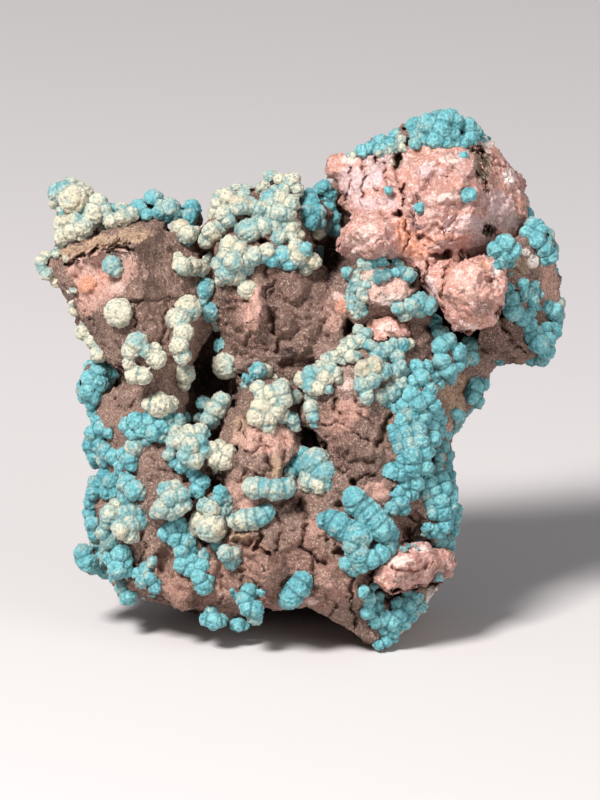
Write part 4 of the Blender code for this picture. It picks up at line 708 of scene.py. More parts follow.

# Where these colours lie on the brown matrix, as staining or painted shadow: a place, its half
# width and height, and how strong.
MATRIX_STAINS_AND_SHADOWS = {
    "tan": [
        (74, 253, 20, 8, 0.9), (105, 243, 22, 9, 0.9), (136, 235, 20, 10, 0.8),
        (276, 466, 6, 15, 0.6), (240, 432, 8, 20, 0.5), (182, 594, 18, 14, 0.4),
        (239, 536, 14, 5, 0.8), (520, 266, 14, 10, 0.5), (455, 394, 20, 26, 0.6),
        (262, 566, 14, 18, 0.4),
    ],
    "salmon": [
        (102, 269, 36, 21, 1), (118, 262, 16, 12, 1), (108, 292, 16, 10, 0.8),
        (92, 296, 16, 18, 0.7), (84, 306, 12, 14, 0.6), (250, 310, 14, 34, 0.5),
        (332, 312, 12, 22, 0.7), (245, 315, 10, 10, 0.5), (266, 440, 34, 16, 0.7),
        (235, 488, 10, 12, 0.6), (248, 504, 12, 6, 0.7), (350, 410, 22, 11, 0.75),
        (336, 425, 16, 7, 0.7), (376, 490, 16, 11, 0.7), (326, 440, 10, 8, 0.5),
        (316, 526, 10, 14, 0.4), (252, 560, 9, 18, 0.8), (176, 590, 14, 12, 0.6),
        (332, 590, 16, 10, 0.5), (450, 431, 6, 9, 0.8), (552, 286, 12, 26, 0.7),
        (210, 562, 8, 14, 0.4),
    ],
    "rose": [(386, 292, 28, 14, 1), (376, 276, 20, 7, 0.8), (100, 266, 30, 14, 0.7)],
    "russet": [
        (230, 580, 80, 40, 0.6), (330, 560, 60, 50, 0.45), (255, 556, 16, 22, 0.6),
        (180, 596, 22, 20, 0.6), (300, 600, 40, 20, 0.5), (150, 420, 20, 16, 0.4),
        (340, 420, 26, 26, 0.4),
    ],
    # Painted shadow in the gaps, cracks and hollows.
    "painted_gap_shadow": [
        (331, 258, 8, 26, 0.8), (290, 354, 10, 7, 0.7), (318, 438, 9, 7, 0.6),
        (206, 374, 9, 16, 0.7), (270, 300, 4, 26, 0.6), (418, 586, 22, 5, 0.6),
        (312, 236, 10, 6, 0.5),
    ],
    # A darker brown, partly painted shade under overhangs and in recesses.
    "umber_and_painted_shade": [
        (500, 335, 26, 20, 0.8), (420, 340, 14, 22, 0.4), (232, 318, 14, 34, 0.7),
        (284, 300, 22, 50, 0.6), (250, 348, 26, 12, 0.7), (322, 300, 12, 40, 0.5),
        (340, 452, 26, 22, 0.5), (300, 500, 16, 20, 0.5), (180, 440, 24, 16, 0.4),
        (150, 330, 26, 30, 0.4), (436, 520, 14, 18, 0.8), (400, 596, 16, 8, 0.8),
    ],
    "orange": [(88, 285, 10, 10, 1), (106, 274, 8, 10, 0.6), (341, 306, 6, 8, 0.6)],
    "pale": [
        (124, 255, 12, 5, 0.7), (118, 288, 10, 6, 0.5), (346, 384, 12, 7, 0.45),
        (312, 600, 7, 4, 0.8), (338, 296, 7, 5, 0.6), (346, 371, 10, 8, 0.3),
    ],
    "white": [
        (433, 598, 8, 14, 1), (421, 616, 10, 11, 1), (405, 632, 11, 9, 1), (386, 645, 12, 7, 1),
        (533, 262, 6, 7, 1), (525, 252, 5, 4, 0.8), (390, 300, 14, 7, 0.5), (452, 486, 4, 12, 0.8),
    ],
    "frost": [(353, 296, 8, 20, 0.9), (366, 286, 6, 6, 0.6), (362, 312, 6, 8, 0.7)],
}

# The same for the pink spar.
SPAR_STAINS = {
    "orange": [
        (416, 246, 24, 16, 0.8), (400, 226, 8, 14, 0.7), (462, 186, 12, 6, 0.4),
        (404, 137, 9, 9, 0.8), (484, 266, 12, 6, 0.5),
    ],
    "pale": [
        (444, 199, 24, 6, 0.6), (362, 238, 20, 14, 0.5), (466, 280, 18, 16, 0.4),
        (452, 160, 14, 6, 0.7), (470, 332, 9, 8, 0.8), (386, 328, 10, 8, 0.5),
        (350, 160, 10, 5, 0.6), (430, 214, 12, 5, 0.5), (398, 560, 14, 6, 0.7),
        (420, 548, 10, 5, 0.6),
    ],
    "white": [(486, 140, 9, 16, 0.7), (510, 176, 9, 10, 0.6), (494, 268, 6, 10, 0.7)],
    "lilac": [
        (352, 182, 14, 18, 0.8), (372, 178, 12, 14, 0.8), (500, 205, 18, 14, 0.7),
        (430, 172, 18, 10, 0.5), (460, 226, 22, 12, 0.6), (430, 290, 8, 14, 0.8),
        (375, 204, 26, 8, 0.6),
    ],
    "grey": [
        (380, 160, 20, 9, 0.8), (484, 232, 12, 18, 0.7), (506, 222, 18, 10, 0.7),
        (474, 248, 12, 10, 0.8), (445, 248, 20, 8, 0.6), (408, 160, 8, 12, 0.5),
        (490, 196, 10, 12, 0.5),
    ],
    "olive": [
        (482, 166, 10, 18, 0.9), (488, 231, 7, 8, 1), (396, 160, 7, 12, 0.9),
        (476, 150, 10, 6, 0.8),
    ],
    "brown": [
        (480, 308, 15, 11, 0.6), (454, 330, 10, 8, 0.8), (334, 186, 6, 16, 0.8),
        (420, 238, 6, 6, 0.7), (360, 256, 22, 6, 0.4), (486, 286, 7, 6, 0.5),
        (392, 578, 16, 6, 0.5), (440, 572, 12, 10, 0.6), (416, 576, 14, 5, 0.5),
    ],
}

# Where lumps are coated in cream more or less than their crust is: a place, its reach, the coat.
COATS = [
    (54, 190, 12, 0.55), (74, 200, 14, 1.0), (160, 206, 26, 0.3), (190, 212, 12, 0.1),
    (215, 190, 8, 0.1), (206, 290, 12, 0.25), (214, 317, 14, 0.35), (112, 269, 12, 0.55),
    (255, 245, 10, 0.9), (262, 200, 10, 0.45), (308, 218, 16, 0.25), (285, 262, 14, 0.25),
    (312, 250, 8, 0.3), (284, 238, 12, 0.5), (226, 366, 12, 0.85), (228, 348, 10, 0.15),
    (216, 410, 12, 0.6), (254, 376, 12, 0.3), (262, 386, 10, 0.9), (278, 394, 10, 0.95),
    (264, 414, 12, 1.0), (292, 422, 8, 0.4), (302, 380, 9, 0.95), (322, 380, 9, 0.9),
    (313, 404, 10, 0.55), (334, 357, 9, 0.6), (352, 346, 12, 0.7), (366, 370, 10, 0.85),
    (366, 397, 9, 0.65), (390, 391, 9, 0.55), (378, 354, 12, 0.4), (400, 345, 8, 0.2),
    (160, 405, 12, 0.95), (150, 428, 18, 0.15), (130, 426, 12, 0.2), (190, 434, 10, 0.6),
    (190, 450, 12, 0.55), (182, 465, 10, 0.15), (220, 454, 16, 1.0), (211, 470, 8, 0.75),
    (199, 482, 10, 0.15), (134, 448, 8, 0.6), (126, 460, 8, 0.1), (130, 490, 14, 0.27),
    (112, 514, 12, 0.58), (134, 511, 10, 0.47), (124, 530, 12, 0.7), (106, 538, 10, 0.47),
    (120, 560, 14, 0.25), (126, 592, 12, 0.15), (146, 578, 16, 0.15), (174, 495, 14, 0.47),
    (166, 511, 12, 0.55), (176, 532, 14, 0.0), (187, 548, 10, 0.1), (188, 565, 10, 0.0),
    (222, 497, 10, 0.3), (210, 508, 10, 0.62), (199, 522, 10, 0.7), (212, 528, 14, 0.7),
    (228, 553, 12, 0.47), (203, 572, 16, 0.1), (212, 618, 12, 0.1), (250, 600, 16, 0.15),
    (238, 624, 10, 0.0), (254, 488, 10, 0.74), (268, 488, 8, 0.55), (285, 487, 10, 0.25),
    (245, 520, 16, 0.51), (262, 514, 10, 0.39), (310, 481, 10, 0.85), (322, 472, 12, 0.5),
    (300, 460, 12, 0.1), (84, 332, 12, 0.9), (98, 354, 8, 0.7), (84, 556, 12, 0.2),
]

# Small lumps strewn over the rock: a place, its half width and height, a count, a radius, a coat.
SPRINKLES = [
    (357, 298, 7, 20, 46, 3.2, 0.5), (374, 274, 20, 8, 60, 3, 0.4), (398, 268, 8, 6, 16, 3, 0.3),
    (380, 148, 16, 6, 34, 3.6, 0.6), (400, 146, 6, 8, 12, 3.4, 0.7), (352, 154, 8, 3, 6, 2.6, 0.6),
    (352, 344, 10, 5, 18, 3.4, 0.6), (344, 356, 14, 6, 26, 3.4, 0.8), (362, 336, 8, 5, 14, 3, 0.5),
    (332, 374, 12, 8, 14, 3, 0.85), (364, 386, 6, 6, 10, 3, 0.6), (386, 400, 8, 8, 12, 3, 0.3),
    (505, 262, 12, 8, 20, 3.4, 0.2), (530, 292, 10, 12, 26, 3.6, 0.1), (498, 250, 8, 6, 12, 3, 0.2),
    (545, 244, 8, 10, 16, 3.4, 0.1), (470, 137, 22, 6, 24, 3.2, 0.1), (428, 140, 16, 5, 20, 3, 0.1),
    (205, 262, 10, 8, 8, 3, 0.8), (226, 266, 8, 8, 10, 3, 0.6), (254, 274, 5, 5, 6, 2.4, 0.9),
    (60, 252, 8, 10, 10, 3.4, 0.8), (72, 300, 4, 14, 10, 3, 0.7), (190, 236, 10, 8, 10, 3.4, 0.5),
    (410, 546, 10, 4, 8, 2.4, 0.2), (440, 540, 12, 6, 14, 2.8, 0.2),
    (430, 530, 10, 8, 10, 2.6, 0.2), (415, 606, 8, 10, 14, 3, 0.2), (384, 628, 8, 12, 12, 3, 0.1),
    (200, 556, 12, 12, 12, 3, 0.1), (120, 470, 12, 8, 10, 3, 0.2), (240, 596, 12, 8, 12, 3, 0.1),
    (166, 420, 10, 8, 8, 2.8, 0.3),
]

# Blocks that are pink spar. The others are brown matrix.
SPAR = (
    "pink_summit", "pink_shoulder", "pink_spur", "pink_ridge", "pink_block_left", "orange_saddle",
    "pink_block_right", "pink_web", "pink_oval", "pink_slab", "back_pink_block", "back_summit",
)

# How far each crust is coated in cream, from none to fully.
COATED = {
    "left_crest": 0.8, "left_face": 0.8, "middle_crest": 0.75, "gap_behind_crest": 0.1,
    "summit": 0.15, "summit_spots": 0.05, "right_crust": 0.1, "encrusted_block": 0.3, "notch": 0.15,
    "bridge": 0.5, "right_flank": 0.12, "worms": 0.1, "tip": 0.12, "pyramid_top": 0.7,
    "pyramid_front": 0.55, "left_edge": 0.2, "left_shoulder": 0.45, "cavity": 0.45,
    "left_foot": 0.4, "foot_front": 0.4,
}


# Places and objects

def at(across, down, depth):
    """A survey place as a point in metres: x to the right, y away from the viewer, z up."""
    return Vector((across - MIDDLE_ACROSS, depth, LOWEST_DOWN - down)) * TENTH


def frame_from_survey():
    """Leans the display face back and sets the box's middle over the frame's origin."""
    return Matrix.Translation(-BOX_MIDDLE) @ Matrix.Rotation(-LEAN, 4, "X")


def survey_of(points):
    """The places of points on the display face, as across and down."""
    return points[:, 0] / TENTH + MIDDLE_ACROSS, LOWEST_DOWN - points[:, 2] / TENTH


def object_from(mesh_builder, name):
    """A new object in the scene, made of what the mesh builder holds."""
    mesh = bpy.data.meshes.new(name)
    mesh_builder.to_mesh(mesh)
    mesh_builder.free()
    made = bpy.data.objects.new(name, mesh)
    bpy.context.scene.collection.objects.link(made)
    return made


def remesh(made, voxel):
    """Fuses all that the object is made of into one even mesh."""
    fused = made.modifiers.new("fuse", "REMESH")
    fused.mode = "VOXEL"
    fused.voxel_size = voxel
    fused.use_smooth_shade = True


def roughen(made, name, kind, scale, strength):
    """Displaces the surface by a procedural texture whose features are scale metres across."""
    texture = bpy.data.textures.get(name) or bpy.data.textures.new(name, kind)
    texture.noise_scale = scale
    rough = made.modifiers.new(name, "DISPLACE")
    rough.texture = texture
    rough.texture_coords = "GLOBAL"
    rough.strength = strength
    rough.mid_level = 0.5


def settle(made):
    """Replaces an object's mesh by what its modifiers make of it."""
    graph = bpy.context.evaluated_depsgraph_get()
    graph.update()
    mesh = bpy.data.meshes.new_from_object(made.evaluated_get(graph), depsgraph=graph)
    made.modifiers.clear()
    spare = made.data
    made.data = mesh
    bpy.data.meshes.remove(spare)


# What a mesh says, and what it is told

def points_of(mesh):
    """The corners of a mesh, one row each."""
    places = np.empty(len(mesh.vertices) * 3, np.float32)
    mesh.vertices.foreach_get("co", places)
    return places.reshape(-1, 3)


def normals_of(mesh):
    """The way each corner faces, one row each."""
    normals = np.empty(len(mesh.vertices) * 3, np.float32)
    mesh.vertex_normals.foreach_get("vector", normals)
    return normals.reshape(-1, 3)


def facing_of(mesh):
    """How squarely each corner faces the viewer, from none to one."""
    return np.clip(-FACING_GAIN * normals_of(mesh)[:, 1], 0, 1)


def tree_of(form):
    """A search tree of an object's surface."""
    corners = [corner.co for corner in form.data.vertices]
    return BVHTree.FromPolygons(corners, [face.vertices for face in form.data.polygons])


def tree_of_places(places):
    """A search tree that finds the nearest of some places."""
    tree = KDTree(len(places))
    for index, place in enumerate(places):
        tree.insert(place, index)
    tree.balance()
    return tree


def set_shade(mesh, name, values):
    """One number per corner, for the material to read."""
    layer = mesh.attributes.new(name, "FLOAT", "POINT")
    layer.data.foreach_set("value", np.asarray(values, np.float32))


def remove_corners(made, unwanted):
    """Deletes the corners that are marked as unwanted."""
    shape = bmesh.new()
    shape.from_mesh(made.data)
    marked = [corner for corner, mark in zip(shape.verts, unwanted) if mark]
    bmesh.ops.delete(shape, geom=marked, context="VERTS")
    shape.to_mesh(made.data)
    shape.free()


def drop_crumbs(made, least):
    """Removes the loose bits that have fewer corners than least."""
    mesh = made.data
    ends = np.empty(len(mesh.edges) * 2, np.int32)
    mesh.edges.foreach_get("vertices", ends)
    first, second = ends.reshape(-1, 2).T
    label = np.arange(len(mesh.vertices))
    while True:
        lower = np.minimum(label[first], label[second])
        spread = label.copy()
        np.minimum.at(spread, first, lower)
        np.minimum.at(spread, second, lower)
        spread = spread[spread]
        if np.array_equal(spread, label):
            break
        label = spread
    size = np.bincount(label, minlength=len(label))
    remove_corners(made, size[label] < least)


def inside(tree, point, depth):
    """Whether a point lies deeper than depth inside a closed surface, seen from six sides."""
    place, normal, _, distance = tree.find_nearest(point)
    if distance < depth or (point - place).dot(normal) > 0:
        return False
    for axis in range(3):
        for sign in (1, -1):
            way = Vector((0, 0, 0))
            way[axis] = sign
            hit, normal, _, _ = tree.ray_cast(point, way)
            if hit is None or normal.dot(way) < 0:
                return False
    return True


# The rock

def add_block(mesh_builder, corners):
    """One convex block, the hull of its corners."""
    points = [mesh_builder.verts.new(at(*corner)) for corner in corners]
    hull = bmesh.ops.convex_hull(mesh_builder, input=points, use_existing_faces=False)
    spare = [item for item in hull["geom_interior"] if isinstance(item, bmesh.types.BMVert)]
    bmesh.ops.delete(mesh_builder, geom=spare, context="VERTS")


def unit_ball(detail):
    """The corners and faces of an icosphere of radius one."""
    ball = bmesh.new()
    bmesh.ops.create_icosphere(ball, subdivisions=detail, radius=1)
    corners = [corner.co.copy() for corner in ball.verts]
    faces = [[corner.index for corner in face.verts] for face in ball.faces]
    ball.free()
    return corners, faces


def add_balls(mesh_builder, balls, detail):
    """Copies of one icosphere, each with its centre and its half sizes along x, y and z."""
    corners, faces = unit_ball(detail)
    points = []
    rings = []
    for centre, halves in balls:
        first = len(points)
        points += [centre + corner * halves for corner in corners]
        rings += [[first + index for index in face] for face in faces]
    mesh = bpy.data.meshes.new("balls")
    mesh.from_pydata(points, [], rings)
    mesh_builder.from_mesh(mesh)
    bpy.data.meshes.remove(mesh)


def rock_form(block_names, knobs, name):
    """The main form of some blocks and knobs, as the model has it."""
    shape = bmesh.new()
    for block_name in block_names:
        add_block(shape, BLOCKS[block_name])
    balls = []
    for across, down, depth, half_width, half_height, half_depth in knobs:
        halves = Vector((half_width, half_depth, half_height)) * TENTH
        balls.append((at(across, down, depth), halves))
    add_balls(shape, balls, KNOB_DETAIL)
    rock = object_from(shape, name)
    remesh(rock, ROCK_VOXEL)
    roughen(rock, *CRAGS)
    roughen(rock, *CHIPS)
    return rock


def facet(mesh, size, most, tilt):
    """Flattens the surface into facets of about the given size, each tilted a little at random.

    No corner moves further than most.
    """
    shake = np.random.default_rng(FACET_SEED)
    points = points_of(mesh)
    boxes = np.unique(np.round(points / size), axis=0)
    seeds = (boxes + shake.uniform(-FACET_SHIFT, FACET_SHIFT, boxes.shape)) * size
    tree = tree_of_places(seeds)
    cell = np.array([tree.find(point)[1] for point in points])
    count = np.maximum(np.bincount(cell, minlength=len(seeds)), 1)[:, None]
    middles = np.zeros((len(seeds), 3))
    facings = np.zeros((len(seeds), 3))
    np.add.at(middles, cell, points)
    np.add.at(facings, cell, normals_of(mesh))
    middles /= count
    facings = facings / count
    facings /= np.maximum(np.linalg.norm(facings, axis=1), TINY)[:, None]
    facings += shake.normal(0, tilt, facings.shape)
    facings /= np.linalg.norm(facings, axis=1)[:, None]
    off = np.sum((points - middles[cell]) * facings[cell], axis=1)
    points = points - facings[cell] * np.clip(off, -most, most)[:, None]
    mesh.vertices.foreach_set("co", points.astype(np.float32).ravel())
    mesh.update()


def off_path(across, down, path):
    """How far each corner lies from a path of places."""
    nearest = np.full(len(across), np.inf)
    for (start_across, start_down), (end_across, end_down) in zip(path, path[1:]):
        run = end_across - start_across
        fall = end_down - start_down
        along = (across - start_across) * run + (down - start_down) * fall
        share = np.clip(along / (run * run + fall * fall), 0, 1)
        gap = np.hypot(across - start_across - share * run, down - start_down - share * fall)
        nearest = np.minimum(nearest, gap)
    return nearest


def wander(along, beside, waves):
    """Places along one direction, moved by small waves."""
    moved = along
    for reach, beside_length, along_length in waves:
        moved = moved + reach * np.sin(beside / beside_length + along / along_length)
    return moved


def reach_of(across, down, middle_across, middle_down, half_width, half_height):
    """How far out each corner lies in an oval patch, from none at its middle to one at its edge."""
    return np.hypot((across - middle_across) / half_width, (down - middle_down) / half_height)


def carve(mesh):
    """Presses the grooves and hollows into the display face."""
    points = points_of(mesh)
    straight_across, straight_down = survey_of(points)
    across = wander(straight_across, straight_down, ACROSS_WAVES)
    down = wander(straight_down, straight_across, DOWN_WAVES)
    press = np.zeros(len(points))
    for width, depth, path in GROOVES:
        share = np.clip(GROOVE_EDGE * (1 - off_path(across, down, path) / width), 0, 1)
        pressed = np.maximum(press, depth * share) if depth > 0 else press + depth * share
        press = np.where(share > 0, pressed, press)
    for *patch, depth in HOLLOWS:
        share = np.clip(HOLLOW_EDGE * (1 - reach_of(across, down, *patch)), 0, 1)
        press += depth * share * share * (3 - 2 * share)
    points[:, 1] += press * facing_of(mesh) * TENTH
    mesh.vertices.foreach_set("co", points.ravel())
    mesh.update()


def grain(made, layers):
    """Roughens by several textures and stores how far each corner rose, in tenths."""
    smooth = points_of(made.data)
    normals = normals_of(made.data)
    for layer in layers:
        roughen(made, *layer)
    settle(made)
    rise = np.sum((points_of(made.data) - smooth) * normals, axis=1) / TENTH
    set_shade(made.data, "rise", rise - np.median(rise))


def stain_and_shadow(mesh, stains_and_shadows):
    """Stores each corner's staining or painted shadow as a colour, with its strength as the fourth
    value.
    """
    across, down = survey_of(points_of(mesh))
    facing = facing_of(mesh)
    colour = np.zeros((len(across), 3))
    strength = np.zeros(len(across))
    for name, patches in stains_and_shadows.items():
        tint = np.array(srgb(*STAIN_AND_SHADOW_COLOURS[name]))
        for *patch, most in patches:
            reach = reach_of(across, down, *patch)
            share = most * np.clip(STAIN_EDGE * (STAIN_REACH - reach), 0, 1) * facing
            under = strength * (1 - share)
            strength = share + under
            total = np.maximum(strength, TINY)[:, None]
            colour = (tint * share[:, None] + colour * under[:, None]) / total
    layer = mesh.color_attributes.new("stain_and_shadow", "FLOAT_COLOR", "POINT")
    values = np.column_stack((colour, strength)).astype(np.float32)
    layer.data.foreach_set("color", values.ravel())


def detail_rock(rock, voxel, swell, facets, layers, stains_and_shadows):
    """Works a rock's main form down to its facets, cracks and grain, and lays its staining and
    painted shadows.
    """
    remesh(rock, voxel)
    roughen(rock, *swell)
    settle(rock)
    for size, most, tilt in facets:
        facet(rock.data, size, most, tilt)
    carve(rock.data)
    grain(rock, layers)
    stain_and_shadow(rock.data, stains_and_shadows)


def build_matrix():
    """The brown rock, with its sugary grain."""
    names = [name for name in BLOCKS if name not in SPAR]
    rock = rock_form(names, KNOBS, "brown_matrix")
    detail_rock(rock, MATRIX_VOXEL, MATRIX_SWELL, MATRIX_FACETS, MATRIX_GRAIN, MATRIX_STAINS_AND_SHADOWS)
    return rock


def build_spar():
    """The pink blocks, broken in flat steps."""
    rock = rock_form(SPAR, [], "pink_spar")
    detail_rock(rock, SPAR_VOXEL, SPAR_SWELL, SPAR_FACETS, SPAR_GRAIN, SPAR_STAINS)
    return rock


def drop_buried(made, lumps, other_tree):
    """Removes the rock that lies well under the lumps or inside the other rock."""
    tree = tree_of_places([centre for centre, _ in lumps])
    buried = []
    for corner in made.data.vertices:
        near = tree.find_n(corner.co, COVERING_LUMPS)
        covered = any(distance < lumps[index][1] - ROCK_COVERED for _, index, distance in near)
        buried.append(covered or inside(other_tree, corner.co, ROCK_HIDDEN))
    remove_corners(made, buried)
    drop_crumbs(made, ROCK_CRUMB)


def thin_out(made, most):
    """Fewer triangles, the most of them kept on the display face."""
    triangles = sum(len(face.vertices) - 2 for face in made.data.polygons)
    facing = facing_of(made.data)
    ease = made.vertex_groups.new(name="ease")
    on_face = facing > FACE_LIMIT
    ease.add(np.flatnonzero(on_face).tolist(), FACE_SHARE, "REPLACE")
    ease.add(np.flatnonzero(~on_face).tolist(), 1, "REPLACE")
    thinner = made.modifiers.new("thin", "DECIMATE")
    thinner.ratio = most / triangles
    thinner.vertex_group = ease.name
    thinner.vertex_group_factor = 1
    settle(made)


def split_off_back(made, name):
    """Moves the half of the rock that is away from the viewer into a piece of its own."""
    depth = points_of(made.data)[:, 1]
    face_depth = np.array([depth[list(face.vertices)].mean() for face in made.data.polygons])
    behind = face_depth > np.median(face_depth)
    back = bpy.data.objects.new(name, made.data.copy())
    bpy.context.scene.collection.objects.link(back)
    for piece, unwanted in ((made, behind), (back, ~behind)):
        shape = bmesh.new()
        shape.from_mesh(piece.data)
        shape.faces.ensure_lookup_table()
        faces = [shape.faces[index] for index in np.flatnonzero(unwanted)]
        bmesh.ops.delete(shape, geom=faces, context="FACES")
        shape.to_mesh(piece.data)
        shape.free()
    return back


# The lumps

def seat(lump, rock_tree):
    """A surveyed lump as (centre, radius), on the nearest rock behind it."""
    across, down, radius, *depth = lump
    if depth:
        return at(across, down, depth[0]), radius * TENTH
    place = rock_tree.ray_cast(at(across, down, IN_FRONT), Vector((0, 1, 0)))[0]
    if place is None:
        return rock_tree.find_nearest(at(across, down, MISSED_DEPTH))[0], radius * TENTH
    return place - Vector((0, LUMP_SEAT * radius * TENTH, 0)), radius * TENTH


def wrapped_lumps(rock_mesh):
    """Lumps half sunk in the tops, edges and back near the crusts, never on the display face."""
    picker = random.Random(WRAP_SEED)
    lumps = []
    for place, reach, count, least, most in WRAPS:
        middle = at(*place)
        near = [
            (face.center.copy(), face.normal.copy())
            for face in rock_mesh.polygons
            if (face.center - middle).length < reach * TENTH and face.normal.y > WRAP_SIDE
        ]
        for centre, normal in picker.sample(near, min(count, len(near))):
            radius = picker.uniform(least, most) * TENTH
            centre -= WRAP_SINK * radius * normal
            if all((centre - other).length > WRAP_GAP * radius for other, _ in lumps):
                lumps.append((centre, radius))
    return lumps


def sprinkled_lumps(rock_tree):
    """Small lumps strewn over marked places, each as (centre, radius), and all their coats."""
    picker = random.Random(SPREAD_SEED)
    lumps = []
    coats = []
    for across, down, half_width, half_height, count, radius, coat in SPRINKLES:
        for _ in range(count):
            turn = picker.uniform(0, 2 * math.pi)
            reach = math.sqrt(picker.random())
            place_across = across + reach * half_width * math.cos(turn)
            place_down = down + reach * half_height * math.sin(turn)
            size = radius * picker.uniform(*SPRINKLE_SIZES)
            lumps.append(seat((place_across, place_down, size), rock_tree))
            varied = coat + picker.uniform(-SPRINKLE_COAT, SPRINKLE_COAT)
            coats.append(min(max(varied, 0), 1))
    return lumps, coats


def coat_of(centre, usual):
    """A lump's coat, from the closest marked place that reaches it, or else the usual one."""
    across = centre.x / TENTH + MIDDLE_ACROSS
    down = LOWEST_DOWN - centre.z / TENTH
    marked = [(math.hypot(across - x, down - y) / reach, coat) for x, y, reach, coat in COATS]
    share, coat = min(marked)
    return coat if share < 1 else usual


def build_crust(name, lumps, coats, voxel, rock_tree):
    """One crust of lumps, fused and warty, with each lump's coat and the creases between them."""
    shape = bmesh.new()
    balls = [(centre, Vector((radius, radius, radius)) * LUMP_SWELL) for centre, radius in lumps]
    add_balls(shape, balls, LUMP_DETAIL)
    crust = object_from(shape, "crust_" + name)
    remesh(crust, voxel)
    settle(crust)
    grain(crust, LUMP_GRAIN)
    corners = crust.data.vertices
    remove_corners(crust, [inside(rock_tree, corner.co, CRUST_HIDDEN) for corner in corners])
    drop_crumbs(crust, SPRINKLE_CRUMB if name == "sprinkled" else CRUST_CRUMB)
    tree = tree_of_places([centre for centre, _ in lumps])
    coat = []
    crease = []
    for corner in crust.data.vertices:
        found = tree.find_n(corner.co, TOUCHING_LUMPS)
        gaps = sorted((distance - lumps[index][1], index) for _, index, distance in found)
        nearest, index = gaps[0]
        second, second_index = gaps[1]
        apart = (second - nearest) / CREASE_WIDTH
        share = min(max(0.5 + apart, 0), 1)
        coat.append(share * coats[index] + (1 - share) * coats[second_index])
        crease.append(apart)
    set_shade(crust.data, "coat", coat)
    set_shade(crust.data, "crease", np.clip(crease, 0, 1))
    return crust


# Colours and finishes

def add_node(tree, kind, **values):
    """A shader node with its named inputs or settings set."""
    node = tree.nodes.new(kind)
    for key, value in values.items():
        if key in node.inputs:
            node.inputs[key].default_value = value
        else:
            setattr(node, key, value)
    return node


def noise(tree, scale, detail, roughness):
    """A cloudy pattern with about scale patches to a metre."""
    place = add_node(tree, "ShaderNodeTexCoord")
    made = add_node(tree, "ShaderNodeTexNoise", Scale=scale, Detail=detail, Roughness=roughness)
    tree.links.new(place.outputs["Object"], made.inputs["Vector"])
    return made.outputs["Fac"]


def shade_of(tree, name):
    """One of the numbers stored with each corner."""
    return add_node(tree, "ShaderNodeAttribute", attribute_name=name).outputs["Fac"]


def fit(tree, value, low, high, to_low=0, to_high=1):
    """Maps a value from low..high to to_low..to_high, held at both ends."""
    made = add_node(tree, "ShaderNodeMapRange")
    made.inputs["From Min"].default_value = low
    made.inputs["From Max"].default_value = high
    made.inputs["To Min"].default_value = to_low
    made.inputs["To Max"].default_value = to_high
    tree.links.new(value, made.inputs["Value"])
    return made.outputs["Result"]


def sums(tree, operation, first, second):
    """Adds or multiplies two values."""
    made = add_node(tree, "ShaderNodeMath", operation=operation)
    for socket, value in zip(made.inputs, (first, second)):
        tree.links.new(value, socket)
    return made.outputs["Value"]


def blend(tree, amount, first, second):
    """A colour that goes from first to second."""
    made = add_node(tree, "ShaderNodeMix", data_type="RGBA")
    tree.links.new(amount, made.inputs["Factor"])
    for number, value in zip(MIX_COLOURS, (first, second)):
        if isinstance(value, tuple):
            made.inputs[number].default_value = (*value, 1)
        else:
            tree.links.new(value, made.inputs[number])
    return made.outputs[MIX_RESULT]


def srgb(red, green, blue):
    """A screen colour, 0 to 255, as the linear colour that shaders take."""
    shares = (red / 255, green / 255, blue / 255)
    return tuple(s / 12.92 if s < 0.04045 else ((s + 0.055) / 1.055) ** 2.4 for s in shares)


def coloured(tree, base, layers):
    """Lays colours over a base, each by a shade, where it starts and is full, and its most."""
    for shade, start, full, most, colour in layers:
        base = blend(tree, fit(tree, shade, start, full, 0, most), base, srgb(*colour))
    return base


def new_material(name):
    """A material, its node tree and its main shader."""
    material = bpy.data.materials.new(name)
    material.use_nodes = True
    return material, material.node_tree, material.node_tree.nodes["Principled BSDF"]


def bump(tree, shader, height, strength, distance):
    """Grain too fine for the mesh."""
    made = add_node(tree, "ShaderNodeBump", Strength=strength, Distance=distance)
    tree.links.new(height, made.inputs["Height"])
    tree.links.new(made.outputs["Normal"], shader.inputs["Normal"])


def lump_shades(tree):
    """What the lumps' colours follow: numbers stored with the corners, and cloudy patterns."""
    return {
        "coat": shade_of(tree, "coat"),
        "crease": shade_of(tree, "crease"),
        "rise": shade_of(tree, "rise"),
        "broad": noise(tree, 210, 2, 0.5),
        "tan": noise(tree, 330, 2, 0.5),
        "patches": noise(tree, 400, 3, 0.5),
        "mottle": noise(tree, 1100, 5, 0.65),
        "fine": noise(tree, 3600, 5, 0.7),
    }


def teal_of(tree, shades):
    """Bare lumps: blue-green, with painted highlight on the warts, painted shade in the pits and
    creases, and duller near a coat.
    """
    mottle = fit(tree, shades["mottle"], 0.32, 0.68)
    teal = blend(tree, mottle, srgb(76, 148, 155), srgb(130, 194, 196))
    return coloured(tree, teal, (
        (shades["broad"], 0.4, 0.65, 0.5, (52, 132, 146)),
        # Painted shade where the grain sinks, and painted highlight where it rises.
        (shades["rise"], 0, -2.2, 0.8, (30, 92, 102)),
        (shades["rise"], 0.6, 2.2, 0.75, (150, 208, 210)),
        (shades["fine"], 0.54, 0.64, 0.6, (156, 210, 210)),
        (shades["fine"], 0.46, 0.36, 0.75, (36, 100, 110)),
        # Painted shade between the lumps.
        (shades["crease"], 0.5, 0, 0.85, (22, 74, 80)),
        (shades["coat"], 0.25, 0.85, 0.75, (116, 154, 154)),
    ))


